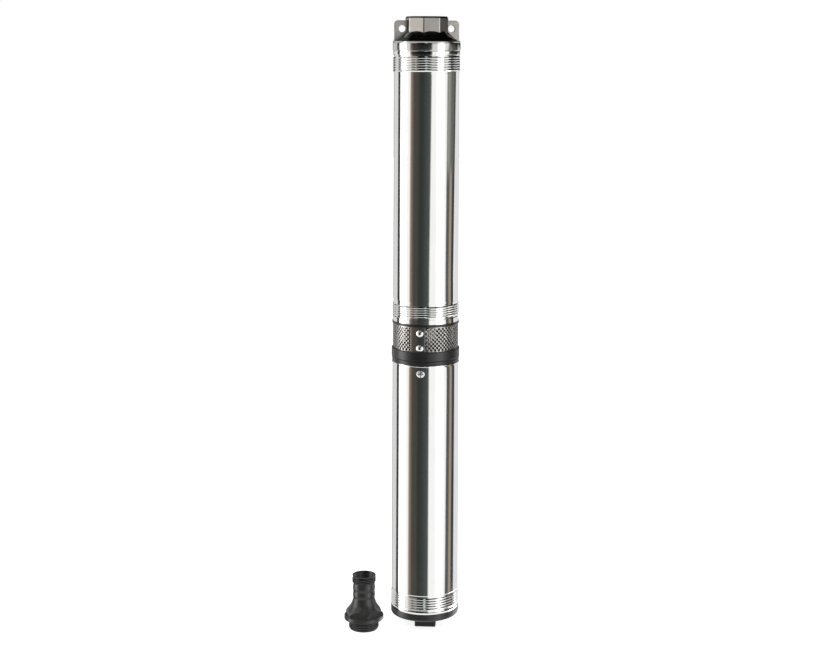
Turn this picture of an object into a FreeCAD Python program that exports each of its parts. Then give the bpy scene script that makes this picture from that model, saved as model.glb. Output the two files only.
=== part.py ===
import FreeCAD, Part
import math
import os
import Sketcher

# Borehole submersible pump standing on its foot lug, with its loose hose adapter beside it.
# Millimetres, +Z up. The origin is the middle of the lug's flat foot, on the pump's own axis.
# The front is -Y. The sizes come first, go into the sheet called sizes, and every sketch reads them there.

# Whole pump, from the floor to the top of its outlet
overall_height = 859.5

# Clearances
fit_clearance = 0.1
running_clearance = 0.3

# Foot: a black moulded cap with the square lug that the pump stands on
lug_side = 27.5
lug_height = 18.5
lug_turn = -10.5
cap_radius = 47.3
cap_height = 9.9
cap_edge = 2.6
cap_spigot_height = 14

# Motor: stainless shell with a thread band rolled into its bottom end
shell_wall = 1.2
motor_radius = 46.6
motor_length = 345
motor_band_radius = 47.3
motor_band_length = 24.5
band_run_out = 4

# Upper end bell of the motor, seen as the lower lip of the thick black ring
flange_radius = 47.6
flange_height = 6.4
flange_spigot_height = 24

# Suction body: thick ring, posts and thin ring in one moulding
suction_radius = 48
suction_opening_flats = 66
suction_ring_height = 12.7
post_count = 6
post_width = 9
post_depth = 6
top_ring_radius = 47.2
top_ring_height = 3.3

# Strainer: perforated stainless band between the two rings
strainer_radius = 46
strainer_wall = 0.8
strainer_height = 34.5

# Pump shell: stainless, with a thread band rolled into both ends
pump_radius = 46
lower_band_radius = 46.8
lower_band_length = 27.2
upper_band_radius = 47.7
upper_band_length = 31.6

# Discharge head: turned collar, cone, eight-sided outlet block, two lifting ears
head_turn = 13.8
collar_radius = 48
collar_height = 14.2
cone_base_radius = 44.5
cone_top_radius = 27
cone_height = 14.8
head_height = 48.9
outlet_flats = 57
outlet_thread_radius = 19.475
outlet_thread_length = 25
valve_bore_radius = 18.6
head_spigot_height = 12.6
leg_count = 4
leg_width = 9
leg_depth = 6
leg_inset = 1.5
leg_length = 20
ear_thickness = 5
ear_reach = 47
ear_height = 43.2
ear_corner = 5.5
ear_hole_radius = 5.1
ear_hole_reach = 36
ear_hole_height = 31.4

# Check valve: snap-in poppet, its wings pass through the seat and hook under it
seat_radius = 12.5
seat_height = 6
poppet_radius = 16.5
poppet_thickness = 4
poppet_lift = 8
wing_count = 3
wing_thickness = 2.4
hook_reach = 15
hook_height = 3

# Hydraulic stages, stacked between the suction body and the head's legs
stage_count = 3
stack_gap = 0.1
shaft_flats = 10
hub_radius = 8.5
impeller_radius = 35
impeller_vane_count = 6
impeller_vane_height = 34
impeller_vane_bend = 32
impeller_vane_sweep = 52
vane_thickness = 2.4
diffuser_disc_thickness = 3
diffuser_vane_count = 8
diffuser_vane_inner_radius = 37
diffuser_vane_sweep = 12
impeller_floor = 5
nut_flats = 17
nut_height = 6

# Shafts, coupling and bearings
coupling_flats = 20
coupling_length = 30
journal_radius = 7.5
motor_shaft_radius = 9
bush_radius = 11
bush_length = 19
journal_clearance = 0.04
pad_flats = 18
pad_thickness = 4
bush_socket_depth = 23.5
seal_flats = 26
seal_height = 8

# Motor core
rotor_radius = 22
rotor_length = 150
rotor_base = 120
air_gap = 0.5
stator_length = 160
coil_count = 6
coil_width = 17
coil_depth = 11
coil_height = 24
coil_inner_radius = 28

# Cable gland at the back of the thick ring
gland_flats = 9.6
gland_length = 15
gland_overhang = 4
gland_bore_radius = 3.2

# Hose adapter, standing by itself on the same floor
adapter_x = -85.3
adapter_y = -17
adapter_turn = 13
adapter_thread_radius = 20.95
adapter_thread_length = 14
adapter_flange_radius = 27.5
adapter_flange_height = 6
adapter_hex_flats = 46
adapter_hex_height = 9
adapter_cone_height = 8
adapter_cone_radius = 21.8
adapter_neck_radius = 15.6
adapter_neck_length = 27
adapter_tip_radius = 16.6
adapter_tip_length = 11
adapter_bore_radius = 13.5

# The sheet that every sketch reads, with a row for each size above: name in column A, value in B
doc = FreeCAD.newDocument("BoreholePump")
sizes = doc.addObject("Spreadsheet::Sheet", "sizes")
driving_sizes = {name: value for name, value in globals().items() if isinstance(value, (int, float))}
for row, (name, value) in enumerate(driving_sizes.items(), 1):
    sizes.set(f"A{row}", name)
    sizes.set(f"B{row}", str(value))
    sizes.setAlias(f"B{row}", name)

# Heights of the stacked parts above the floor, worked out from the sizes
MOTOR_BASE = "(sizes.lug_height + sizes.cap_height)"
FLANGE_BASE = f"({MOTOR_BASE} + sizes.motor_length)"
SUCTION_BASE = f"({FLANGE_BASE} + sizes.flange_height)"
STRAINER_BASE = f"({SUCTION_BASE} + sizes.suction_ring_height)"
TOP_RING_BASE = f"({STRAINER_BASE} + sizes.strainer_height)"
PUMP_BASE = f"({TOP_RING_BASE} + sizes.top_ring_height)"
HEAD_BASE = "(sizes.overall_height - sizes.head_height)"
PUMP_LENGTH = f"({HEAD_BASE} - {PUMP_BASE})"
SPIGOT_BASE = f"({HEAD_BASE} - sizes.head_spigot_height)"
SEAT_TOP = f"({SPIGOT_BASE} + sizes.seat_height)"
STACK_TOP = f"({SPIGOT_BASE} - sizes.leg_length)"

# Radii and lengths that follow from others
MOTOR_BORE = "(sizes.motor_radius - sizes.shell_wall)"
PUMP_BORE = "(sizes.pump_radius - sizes.shell_wall)"
MOTOR_SPIGOT_RADIUS = f"({MOTOR_BORE} - sizes.fit_clearance)"
PUMP_SPIGOT_RADIUS = f"({PUMP_BORE} - sizes.fit_clearance)"
STRAINER_BORE = "(sizes.strainer_radius - sizes.strainer_wall)"
POST_OUTER_RADIUS = f"({STRAINER_BORE} - sizes.running_clearance)"
STAGE_PITCH = f"(({STACK_TOP} - {PUMP_BASE}) / sizes.stage_count)"
SOCKET_FLOOR = "(sizes.lug_height + sizes.cap_height + sizes.cap_spigot_height - sizes.bush_socket_depth)"
SHAFT_FOOT = f"({SOCKET_FLOOR} + sizes.pad_thickness)"
COLLAR_TOP = "(sizes.head_spigot_height + sizes.collar_height)"
CONE_TOP = f"({COLLAR_TOP} + sizes.cone_height)"
CONE_SLOPE = "((sizes.cone_base_radius - sizes.cone_top_radius) / sizes.cone_height)"
SOCKET_BASE = "(sizes.head_spigot_height + sizes.head_height - sizes.outlet_thread_length)"
SOCKET_BASE_RADIUS = f"(sizes.cone_base_radius - ({SOCKET_BASE} - {COLLAR_TOP}) * {CONE_SLOPE})"
SHAFT_BORE = "(sizes.journal_radius + sizes.journal_clearance)"
COUPLING_BASE = f"({SUCTION_BASE} + sizes.seal_height + sizes.running_clearance)"
SHAFT_MEETING = f"({COUPLING_BASE} + sizes.coupling_length / 2)"
GLAND_START = "(sizes.suction_radius + sizes.gland_overhang - sizes.gland_length)"
SHAFT_HOLE_FLATS = "(sizes.shaft_flats + 2 * sizes.fit_clearance)"
VANE_ANGLE = "sizes.vane_thickness * 180 / pi"

doc.recompute()


def value(expression):
    """What an expression over the sheet comes to."""
    return float(sizes.evalExpression(expression))


def origin_feature(body, role):
    """One of a body's own origin planes or axes."""
    for feature in body.Origin.OriginFeatures:
        if feature.Role == role:
            return feature
    raise ValueError(role)


def new_body(label, base="0"):
    """An empty body whose frame stands at the height base."""
    body = doc.addObject("PartDesign::Body", label)
    body.Label = label
    body.AllowCompound = True
    body.setExpression("Placement.Base.z", base)
    return body


def new_sketch(body, name, role, height=None):
    """A sketch on one of the body's origin planes, moved along its normal where a height is given."""
    sketch = body.newObject("Sketcher::SketchObject", name)
    sketch.AttachmentSupport = (origin_feature(body, role), [""])
    sketch.MapMode = "FlatFace"
    if height is not None:
        sketch.setExpression("AttachmentOffset.Base.z", height)
    return sketch


def bind(sketch, constraint, expression):
    """Add a constraint whose value stays bound to an expression over the sheet."""
    number = sketch.addConstraint(constraint)
    sketch.setExpression(f"Constraints[{number}]", expression)


def pin_point(sketch, line, end, x, y):
    """Hold one end of a line at x and y, given as expressions."""
    for axis_line, kind, expression in ((-2, "DistanceX", x), (-1, "DistanceY", y)):
        amount = value(expression)
        if abs(amount) < 1e-9:
            sketch.addConstraint(Sketcher.Constraint("PointOnObject", line, end, axis_line))
        else:
            bind(sketch, Sketcher.Constraint(kind, -1, 1, line, end, amount), expression)


def closed_outline(sketch, corners):
    """A closed outline of straight lines through corners, each a pair of expressions."""
    points = [FreeCAD.Vector(value(x), value(y), 0) for x, y in corners]
    lines = []
    for start, stop in zip(points, points[1:] + points[:1]):
        lines.append(sketch.addGeometry(Part.LineSegment(start, stop), False))
    for line, following in zip(lines, lines[1:] + lines[:1]):
        sketch.addConstraint(Sketcher.Constraint("Coincident", line, 2, following, 1))
    for line, (x, y) in zip(lines, corners):
        pin_point(sketch, line, 1, x, y)


def circle(sketch, radius, x="0", y="0"):
    """A circle with its centre at x and y."""
    centre = FreeCAD.Vector(value(x), value(y), 0)
    ring = sketch.addGeometry(Part.Circle(centre, FreeCAD.Vector(0, 0, 1), value(radius)), False)
    bind(sketch, Sketcher.Constraint("Radius", ring, value(radius)), radius)
    pin_point(sketch, ring, 3, x, y)


def regular_polygon(sketch, sides, flats):
    """A regular polygon about the origin, held by the circle that its sides touch."""
    inner = value(flats) / 2
    outer = inner / math.cos(math.pi / sides)
    touched = sketch.addGeometry(Part.Circle(FreeCAD.Vector(), FreeCAD.Vector(0, 0, 1), inner), True)
    sketch.addConstraint(Sketcher.Constraint("Coincident", touched, 3, -1, 1))
    bind(sketch, Sketcher.Constraint("Radius", touched, inner), f"{flats} / 2")
    spoke = FreeCAD.Vector(outer, 0, 0)
    turn = FreeCAD.Rotation(FreeCAD.Vector(0, 0, 1), 360 / sides)
    start = FreeCAD.Rotation(FreeCAD.Vector(0, 0, 1), 180 / sides).multVec(spoke)
    lines = []
    for _ in range(sides):
        stop = turn.multVec(start)
        lines.append(sketch.addGeometry(Part.LineSegment(start, stop), False))
        start = stop
    for line, following in zip(lines, lines[1:] + lines[:1]):
        sketch.addConstraint(Sketcher.Constraint("Coincident", line, 2, following, 1))
        sketch.addConstraint(Sketcher.Constraint("Tangent", line, touched))
    for line in lines[1:-1]:
        sketch.addConstraint(Sketcher.Constraint("Equal", lines[0], line))
    sketch.addConstraint(Sketcher.Constraint("Vertical", lines[-1]))


def bar_section(sketch, near, far, width):
    """A rectangle from x = near to x = far, half of its width on each side of the X axis."""
    half = value(width) / 2
    x_near = value(near)
    x_far = value(far)
    corners = [
        FreeCAD.Vector(x_near, -half, 0),
        FreeCAD.Vector(x_far, -half, 0),
        FreeCAD.Vector(x_far, half, 0),
        FreeCAD.Vector(x_near, half, 0),
    ]
    lines = []
    for start, stop in zip(corners, corners[1:] + corners[:1]):
        lines.append(sketch.addGeometry(Part.LineSegment(start, stop), False))
    for line, following in zip(lines, lines[1:] + lines[:1]):
        sketch.addConstraint(Sketcher.Constraint("Coincident", line, 2, following, 1))
    bottom, right, top, left = lines
    sketch.addConstraint(Sketcher.Constraint("Horizontal", bottom))
    sketch.addConstraint(Sketcher.Constraint("Horizontal", top))
    sketch.addConstraint(Sketcher.Constraint("Vertical", left))
    sketch.addConstraint(Sketcher.Constraint("Symmetric", right, 1, right, 2, -1))
    bind(sketch, Sketcher.Constraint("DistanceY", right, 1, right, 2, 2 * half), width)
    bind(sketch, Sketcher.Constraint("DistanceX", -1, 1, left, 1, x_near), near)
    bind(sketch, Sketcher.Constraint("DistanceX", -1, 1, right, 1, x_far), far)


def turned(body, name, corners, kind="PartDesign::Revolution"):
    """Turn a profile of radius and height pairs about the body's Z axis, adding or cutting."""
    sketch = new_sketch(body, f"{name}_profile", "XZ_Plane")
    closed_outline(sketch, corners)
    feature = body.newObject(kind, name)
    feature.Profile = sketch
    feature.ReferenceAxis = (sketch, ["V_Axis"])
    feature.Angle = 360
    return feature


def padded(body, name, sketch, length, reverse=False, both_ways=False):
    """Pad a sketch along its normal, or half each way."""
    pad = body.newObject("PartDesign::Pad", name)
    pad.Profile = sketch
    pad.setExpression("Length", length)
    pad.Reversed = reverse
    if both_ways:
        pad.SideType = "Symmetric"
    return pad


def pocketed(body, name, sketch, depth, reverse=False):
    """Cut a sketch into the body."""
    pocket = body.newObject("PartDesign::Pocket", name)
    pocket.Profile = sketch
    pocket.setExpression("Length", depth)
    pocket.Reversed = reverse
    return pocket


def repeated_around(body, name, features, count):
    """Repeat features evenly about the body's Z axis."""
    pattern = body.newObject("PartDesign::PolarPattern", name)
    pattern.Originals = features
    pattern.Axis = (origin_feature(body, "Z_Axis"), [""])
    pattern.Angle = 360
    pattern.setExpression("Occurrences", count)
    body.Tip = pattern
    return pattern


def repeated_up(body, name, pitch, count):
    """Repeat the whole body upwards, one pitch apart."""
    doc.recompute()
    pattern = body.newObject("PartDesign::LinearPattern", name)
    pattern.TransformMode = "Whole shape"
    pattern.Direction = (origin_feature(body, "Z_Axis"), [""])
    pattern.Mode = "Spacing"
    pattern.setExpression("Offset", pitch)
    pattern.setExpression("Occurrences", count)
    body.Tip = pattern
    return pattern


def polar(radius, angle):
    """A corner at a radius and an angle, both expressions."""
    return (f"({radius}) * cos({angle})", f"({radius}) * sin({angle})")


def bottom_cap():
    """Moulded cap: square lug to stand on, disc with a broken lower edge, spigot with the bush socket."""
    body = new_body("bottom_cap")
    body.setExpression("Placement.Rotation.Angle", "sizes.lug_turn")
    rim = "sizes.cap_radius"
    disc_base = "sizes.lug_height"
    socket = "(sizes.bush_radius + sizes.fit_clearance)"
    turned(
        body,
        "disc",
        [
            ("0", disc_base),
            (f"{rim} - sizes.cap_edge", disc_base),
            (rim, f"{disc_base} + sizes.cap_edge"),
            (rim, MOTOR_BASE),
            (MOTOR_SPIGOT_RADIUS, MOTOR_BASE),
            (MOTOR_SPIGOT_RADIUS, f"{MOTOR_BASE} + sizes.cap_spigot_height"),
            (socket, f"{MOTOR_BASE} + sizes.cap_spigot_height"),
            (socket, SOCKET_FLOOR),
            ("0", SOCKET_FLOOR),
        ],
    )
    square = new_sketch(body, "lug_section", "XY_Plane")
    regular_polygon(square, 4, "sizes.lug_side")
    padded(body, "lug", square, disc_base)


def motor_shell():
    """Drawn stainless tube, swollen at the bottom where the thread is rolled in."""
    body = new_body("motor_shell", MOTOR_BASE)
    band_end = "sizes.motor_band_length"
    turned(
        body,
        "tube",
        [
            (MOTOR_BORE, "0"),
            ("sizes.motor_band_radius", "0"),
            ("sizes.motor_band_radius", band_end),
            ("sizes.motor_radius", f"{band_end} + sizes.band_run_out"),
            ("sizes.motor_radius", "sizes.motor_length"),
            (MOTOR_BORE, "sizes.motor_length"),
        ],
    )


def motor_flange():
    """Upper end bell: a lip on the shell's end and a spigot that carries the upper bush."""
    body = new_body("motor_flange", f"{FLANGE_BASE} - sizes.flange_spigot_height")
    lip = "sizes.flange_spigot_height"
    top = f"{lip} + sizes.flange_height"
    bore = "(sizes.bush_radius + sizes.fit_clearance)"
    turned(
        body,
        "bell",
        [
            (bore, "0"),
            (MOTOR_SPIGOT_RADIUS, "0"),
            (MOTOR_SPIGOT_RADIUS, lip),
            ("sizes.flange_radius", lip),
            ("sizes.flange_radius", top),
            (bore, top),
        ],
    )


def suction_body():
    """One moulding: thick ring, posts for the strainer, thin ring that the pump shell sits on."""
    body = new_body("suction_body", SUCTION_BASE)
    ring = "sizes.suction_ring_height"
    thin_ring_base = f"({ring} + sizes.strainer_height)"
    total = f"({thin_ring_base} + sizes.top_ring_height)"
    disc = new_sketch(body, "thick_ring_section", "XY_Plane")
    circle(disc, "sizes.suction_radius")
    padded(body, "thick_ring", disc, ring)
    section = new_sketch(body, "post_section", "XY_Plane", ring)
    bar_section(section, f"{POST_OUTER_RADIUS} - sizes.post_depth", POST_OUTER_RADIUS, "sizes.post_width")
    post = padded(body, "post", section, "sizes.strainer_height")
    repeated_around(body, "posts", [post], "sizes.post_count")
    lid = new_sketch(body, "top_ring_section", "XY_Plane", thin_ring_base)
    circle(lid, "sizes.top_ring_radius")
    padded(body, "top_ring", lid, "sizes.top_ring_height")
    opening = new_sketch(body, "opening_section", "XY_Plane")
    regular_polygon(opening, 6, "sizes.suction_opening_flats")
    pocketed(body, "opening", opening, total, True)
    seat = new_sketch(body, "gland_seat_section", "XZ_Plane", f"-{GLAND_START}")
    seat.setExpression("AttachmentOffset.Base.y", f"{ring} / 2")
    regular_polygon(seat, 6, "sizes.gland_flats + 2 * sizes.fit_clearance")
    pocketed(body, "gland_seat", seat, "sizes.gland_length")


def strainer():
    """Thin stainless band round the posts, closed between the two rings."""
    body = new_body("strainer", STRAINER_BASE)
    turned(
        body,
        "band",
        [
            (STRAINER_BORE, "0"),
            ("sizes.strainer_radius", "0"),
            ("sizes.strainer_radius", "sizes.strainer_height"),
            (STRAINER_BORE, "sizes.strainer_height"),
        ],
    )


def pump_shell():
    """Drawn stainless tube with a rolled thread band at each end."""
    body = new_body("pump_shell", PUMP_BASE)
    upper = f"({PUMP_LENGTH} - sizes.upper_band_length)"
    turned(
        body,
        "tube",
        [
            (PUMP_BORE, "0"),
            ("sizes.lower_band_radius", "0"),
            ("sizes.lower_band_radius", "sizes.lower_band_length"),
            ("sizes.pump_radius", "sizes.lower_band_length + sizes.band_run_out"),
            ("sizes.pump_radius", f"{upper} - sizes.band_run_out"),
            ("sizes.upper_band_radius", upper),
            ("sizes.upper_band_radius", PUMP_LENGTH),
            (PUMP_BORE, PUMP_LENGTH),
        ],
    )


def head_body(label):
    """An empty body in the head's own frame, turned as the outlet block is."""
    body = new_body(label, SPIGOT_BASE)
    body.setExpression("Placement.Rotation.Angle", "sizes.head_turn")
    return body


def discharge_head():
    """Turned collar and the foot of the cone, with the valve's seat and legs that clamp the stages."""
    body = head_body("discharge_head")
    turned(
        body,
        "collar_and_cone",
        [
            ("sizes.seat_radius", "0"),
            (PUMP_SPIGOT_RADIUS, "0"),
            (PUMP_SPIGOT_RADIUS, "sizes.head_spigot_height"),
            ("sizes.collar_radius", "sizes.head_spigot_height"),
            ("sizes.collar_radius", COLLAR_TOP),
            ("sizes.cone_base_radius", COLLAR_TOP),
            (SOCKET_BASE_RADIUS, SOCKET_BASE),
            ("sizes.valve_bore_radius", SOCKET_BASE),
            ("sizes.valve_bore_radius", "sizes.seat_height"),
            ("sizes.seat_radius", "sizes.seat_height"),
        ],
    )
    leg_section = new_sketch(body, "leg_section", "XY_Plane")
    leg_outer = f"({PUMP_SPIGOT_RADIUS} - sizes.leg_inset)"
    bar_section(leg_section, f"{leg_outer} - sizes.leg_depth", leg_outer, "sizes.leg_width")
    leg = padded(body, "leg", leg_section, "sizes.leg_length", reverse=True)
    repeated_around(body, "legs", [leg], "sizes.leg_count")


def outlet_socket():
    """The threaded outlet: the cone's upper end and the eight-sided block on it."""
    body = head_body("outlet_socket")
    turned(
        body,
        "cone_end",
        [
            ("0", SOCKET_BASE),
            (SOCKET_BASE_RADIUS, SOCKET_BASE),
            ("sizes.cone_top_radius", CONE_TOP),
            ("0", CONE_TOP),
        ],
    )
    section = new_sketch(body, "outlet_section", "XY_Plane", SOCKET_BASE)
    regular_polygon(section, 8, "sizes.outlet_flats")
    padded(body, "outlet_block", section, "sizes.outlet_thread_length")
    bore = new_sketch(body, "outlet_bore_section", "XY_Plane", SOCKET_BASE)
    circle(bore, "sizes.outlet_thread_radius")
    pocketed(body, "outlet_bore", bore, "sizes.outlet_thread_length", reverse=True)


def lifting_ears():
    """Two ears that stand on the collar and the cone, against opposite flats of the outlet block."""
    body = head_body("lifting_ears")
    side = new_sketch(body, "ear_outline", "XZ_Plane")
    root = "sizes.outlet_flats / 2"
    ear_top = "(sizes.head_spigot_height + sizes.ear_height)"
    hole_height = "sizes.head_spigot_height + sizes.ear_hole_height"
    corner_inset = "sizes.ear_corner * (1 - cos(45))"
    closed_outline(
        side,
        [
            (root, COLLAR_TOP),
            ("sizes.ear_reach", COLLAR_TOP),
            ("sizes.ear_reach", f"{ear_top} - sizes.ear_corner"),
            (f"sizes.ear_reach - {corner_inset}", f"{ear_top} - {corner_inset}"),
            ("sizes.ear_reach - sizes.ear_corner", ear_top),
            (root, ear_top),
        ],
    )
    circle(side, "sizes.ear_hole_radius", "sizes.ear_hole_reach", hole_height)
    ear = padded(body, "ear", side, "sizes.ear_thickness", both_ways=True)
    repeated_around(body, "ears", [ear], "2")
    turned(
        body,
        "cone_foot",
        [
            ("0", COLLAR_TOP),
            ("sizes.cone_base_radius", COLLAR_TOP),
            ("sizes.cone_top_radius", CONE_TOP),
            ("0", CONE_TOP),
        ],
        "PartDesign::Groove",
    )


def check_valve():
    """Poppet that gravity closes: a disc on the seat and wings that hook under it at full lift."""
    stem = "(sizes.seat_height + sizes.poppet_lift + sizes.hook_height)"
    body = new_body("check_valve", f"{SEAT_TOP} - {stem}")
    disc = new_sketch(body, "disc_section", "XY_Plane", stem)
    circle(disc, "sizes.poppet_radius")
    padded(body, "disc", disc, "sizes.poppet_thickness")
    wing_reach = "(sizes.seat_radius - sizes.running_clearance)"
    side = new_sketch(body, "wing_outline", "XZ_Plane")
    closed_outline(
        side,
        [
            ("0", "0"),
            (wing_reach, "0"),
            ("sizes.hook_reach", "sizes.hook_height"),
            (wing_reach, "sizes.hook_height"),
            (wing_reach, stem),
            ("0", stem),
        ],
    )
    wing = padded(body, "wing", side, "sizes.wing_thickness", both_ways=True)
    repeated_around(body, "wings", [wing], "sizes.wing_count")


def hexagonal_rod(body, name, flats, base, length):
    """A length of hexagonal bar standing at a height of the body."""
    section = new_sketch(body, f"{name}_section", "XY_Plane", base)
    regular_polygon(section, 6, flats)
    return padded(body, name, section, length)


def hexagonal_bore(body, name, flats, base, depth):
    """A hexagonal hole upwards from a height of the body."""
    section = new_sketch(body, f"{name}_section", "XY_Plane", base)
    regular_polygon(section, 6, flats)
    return pocketed(body, name, section, depth, True)


def pump_shaft():
    """Hexagonal stainless bar from the coupling to just above the shaft nut."""
    body = new_body("pump_shaft", f"{SHAFT_MEETING} + sizes.fit_clearance")
    top = f"({STACK_TOP} + sizes.nut_height)"
    hexagonal_rod(body, "bar", "sizes.shaft_flats", "0", f"{top} - {SHAFT_MEETING}")


def shaft_coupling():
    """Hexagonal sleeve over the ends of both shafts."""
    body = new_body("shaft_coupling", COUPLING_BASE)
    hexagonal_rod(body, "sleeve", "sizes.coupling_flats", "0", "sizes.coupling_length")
    hexagonal_bore(body, "bore", SHAFT_HOLE_FLATS, "0", "sizes.coupling_length")


def shaft_nut():
    """Hexagonal nut that keeps the impellers down on the shaft."""
    body = new_body("shaft_nut", f"{STACK_TOP} + sizes.stack_gap")
    hexagonal_rod(body, "nut", "sizes.nut_flats", "0", "sizes.nut_height")
    hexagonal_bore(body, "bore", SHAFT_HOLE_FLATS, "0", "sizes.nut_height")


def impellers():
    """Open impellers: swept vanes on a hub that also runs as the journal in the diffuser above."""
    body = new_body("impellers", PUMP_BASE)
    hub_section = new_sketch(body, "hub_section", "XY_Plane")
    circle(hub_section, "sizes.hub_radius")
    hub = padded(body, "hub", hub_section, f"{STAGE_PITCH} - sizes.stack_gap")
    root = "(sizes.hub_radius - sizes.vane_thickness / 2)"
    middle = "((sizes.hub_radius + sizes.impeller_radius) / 2)"
    tip = "sizes.impeller_radius"
    sweep = "sizes.impeller_vane_sweep"
    half_sweep = "sizes.impeller_vane_bend"
    outline = new_sketch(body, "vane_section", "XY_Plane", "sizes.impeller_floor")
    closed_outline(
        outline,
        [
            (root, "0"),
            polar(middle, half_sweep),
            polar(tip, sweep),
            polar(tip, f"{sweep} + {VANE_ANGLE} / {tip}"),
            polar(middle, f"{half_sweep} + {VANE_ANGLE} / {middle}"),
            polar(root, f"{VANE_ANGLE} / {root}"),
        ],
    )
    vane = padded(body, "vane", outline, "sizes.impeller_vane_height")
    vanes = repeated_around(body, "vanes", [vane], "sizes.impeller_vane_count")
    bore = hexagonal_bore(body, "bore", SHAFT_HOLE_FLATS, "0", STAGE_PITCH)
    repeated_up(body, "stages", STAGE_PITCH, "sizes.stage_count")


def diffusers():
    """Diffusers: a disc over each impeller, carried by guide vanes that stand round it."""
    body = new_body("diffusers", PUMP_BASE)
    floor = f"({STAGE_PITCH} - sizes.stack_gap - sizes.diffuser_disc_thickness)"
    rim = PUMP_SPIGOT_RADIUS
    sweep = "sizes.diffuser_vane_sweep"
    near = "sizes.diffuser_vane_inner_radius"
    far = f"({rim} - sizes.fit_clearance)"
    disc_section = new_sketch(body, "disc_section", "XY_Plane", floor)
    circle(disc_section, rim)
    circle(disc_section, "sizes.hub_radius + sizes.fit_clearance")
    disc = padded(body, "disc", disc_section, "sizes.diffuser_disc_thickness")
    outline = new_sketch(body, "vane_section", "XY_Plane")
    closed_outline(
        outline,
        [
            (near, "0"),
            polar(far, sweep),
            polar(far, f"{sweep} + {VANE_ANGLE} / {far}"),
            polar(near, f"{VANE_ANGLE} / {near}"),
        ],
    )
    vane = padded(body, "vane", outline, floor)
    vanes = repeated_around(body, "vanes", [vane], "sizes.diffuser_vane_count")
    repeated_up(body, "stages", STAGE_PITCH, "sizes.stage_count")


def seal_gland():
    """Hexagonal gland that presses the shaft seal down on the motor's upper end bell."""
    body = new_body("seal_gland", SUCTION_BASE)
    hexagonal_rod(body, "gland", "sizes.seal_flats", "0", "sizes.seal_height")
    hole = new_sketch(body, "bore_section", "XY_Plane")
    circle(hole, SHAFT_BORE)
    pocketed(body, "bore", hole, "sizes.seal_height", True)


def motor_shaft():
    """Turned shaft with a journal at each end and a hexagonal end for the coupling."""
    body = new_body("motor_shaft", SHAFT_FOOT)
    journal = "sizes.journal_radius"
    lower = "(sizes.bush_socket_depth - sizes.pad_thickness + 2 * sizes.running_clearance)"
    upper = f"({FLANGE_BASE} - sizes.flange_spigot_height - 2 * sizes.running_clearance - {SHAFT_FOOT})"
    round_end = f"({COUPLING_BASE} - sizes.fit_clearance - {SHAFT_FOOT})"
    turned(
        body,
        "shaft",
        [
            ("0", "0"),
            (journal, "0"),
            (journal, lower),
            ("sizes.motor_shaft_radius", lower),
            ("sizes.motor_shaft_radius", upper),
            (journal, upper),
            (journal, round_end),
            ("0", round_end),
        ],
    )
    drive_length = f"{SHAFT_MEETING} - {SHAFT_FOOT} - {round_end}"
    hexagonal_rod(body, "drive_end", "sizes.shaft_flats", round_end, drive_length)


def sleeve(label, base, inner, outer, length):
    """A plain ring or tube standing at a height."""
    body = new_body(label, base)
    section = new_sketch(body, "section", "XY_Plane")
    circle(section, outer)
    circle(section, inner)
    padded(body, "tube", section, length)
    return body


def rotor_core():
    """Laminated rotor core pressed on the motor shaft."""
    bore = "sizes.motor_shaft_radius + sizes.journal_clearance"
    sleeve("rotor_core", "sizes.rotor_base", bore, "sizes.rotor_radius", "sizes.rotor_length")


def stator_core():
    """Laminated stator core pressed into the motor shell, round the rotor."""
    base = "(sizes.rotor_base + (sizes.rotor_length - sizes.stator_length) / 2)"
    bore = "sizes.rotor_radius + sizes.air_gap"
    sleeve("stator_core", base, bore, MOTOR_SPIGOT_RADIUS, "sizes.stator_length")


def coil_ends():
    """End turns of the coils, a bundle for each coil on both ends of the stator core."""
    base = "(sizes.rotor_base + (sizes.rotor_length - sizes.stator_length) / 2 - sizes.coil_height)"
    body = new_body("coil_ends", base)
    section = new_sketch(body, "bundle_section", "XY_Plane")
    outer = "sizes.coil_inner_radius + sizes.coil_depth"
    bar_section(section, "sizes.coil_inner_radius", outer, "sizes.coil_width")
    bundle = padded(body, "bundle", section, "sizes.coil_height")
    ring = repeated_around(body, "ring", [bundle], "sizes.coil_count")
    apart = "(sizes.stator_length + sizes.coil_height)"
    repeated_up(body, "both_ends", apart, "2")


def bearing_bushes():
    """Journal bushes: one in the cap's socket, one in the upper end bell."""
    body = new_body("bearing_bushes", f"{MOTOR_BASE} + sizes.cap_spigot_height - sizes.bush_length")
    section = new_sketch(body, "section", "XY_Plane")
    circle(section, "sizes.bush_radius")
    circle(section, SHAFT_BORE)
    bush = padded(body, "bush", section, "sizes.bush_length")
    upper = f"({FLANGE_BASE} - sizes.flange_spigot_height)"
    lower = f"({MOTOR_BASE} + sizes.cap_spigot_height - sizes.bush_length)"
    repeated_up(body, "both_bushes", f"{upper} - {lower}", "2")


def thrust_pad():
    """Hard pad at the floor of the cap's socket, under the end of the motor shaft."""
    body = new_body("thrust_pad", SOCKET_FLOOR)
    hexagonal_rod(body, "pad", "sizes.pad_flats", "0", "sizes.pad_thickness - sizes.stack_gap")


def cable_gland():
    """Gland for the supply cable, radially through the thick ring at the back."""
    body = new_body("cable_gland", f"{SUCTION_BASE} + sizes.suction_ring_height / 2")
    section = new_sketch(body, "gland_section", "XZ_Plane", f"-{GLAND_START}")
    regular_polygon(section, 6, "sizes.gland_flats")
    padded(body, "gland", section, "sizes.gland_length", reverse=True)
    hole = new_sketch(body, "bore_section", "XZ_Plane", f"-{GLAND_START}")
    circle(hole, "sizes.gland_bore_radius")
    pocketed(body, "bore", hole, "sizes.gland_length")


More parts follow.
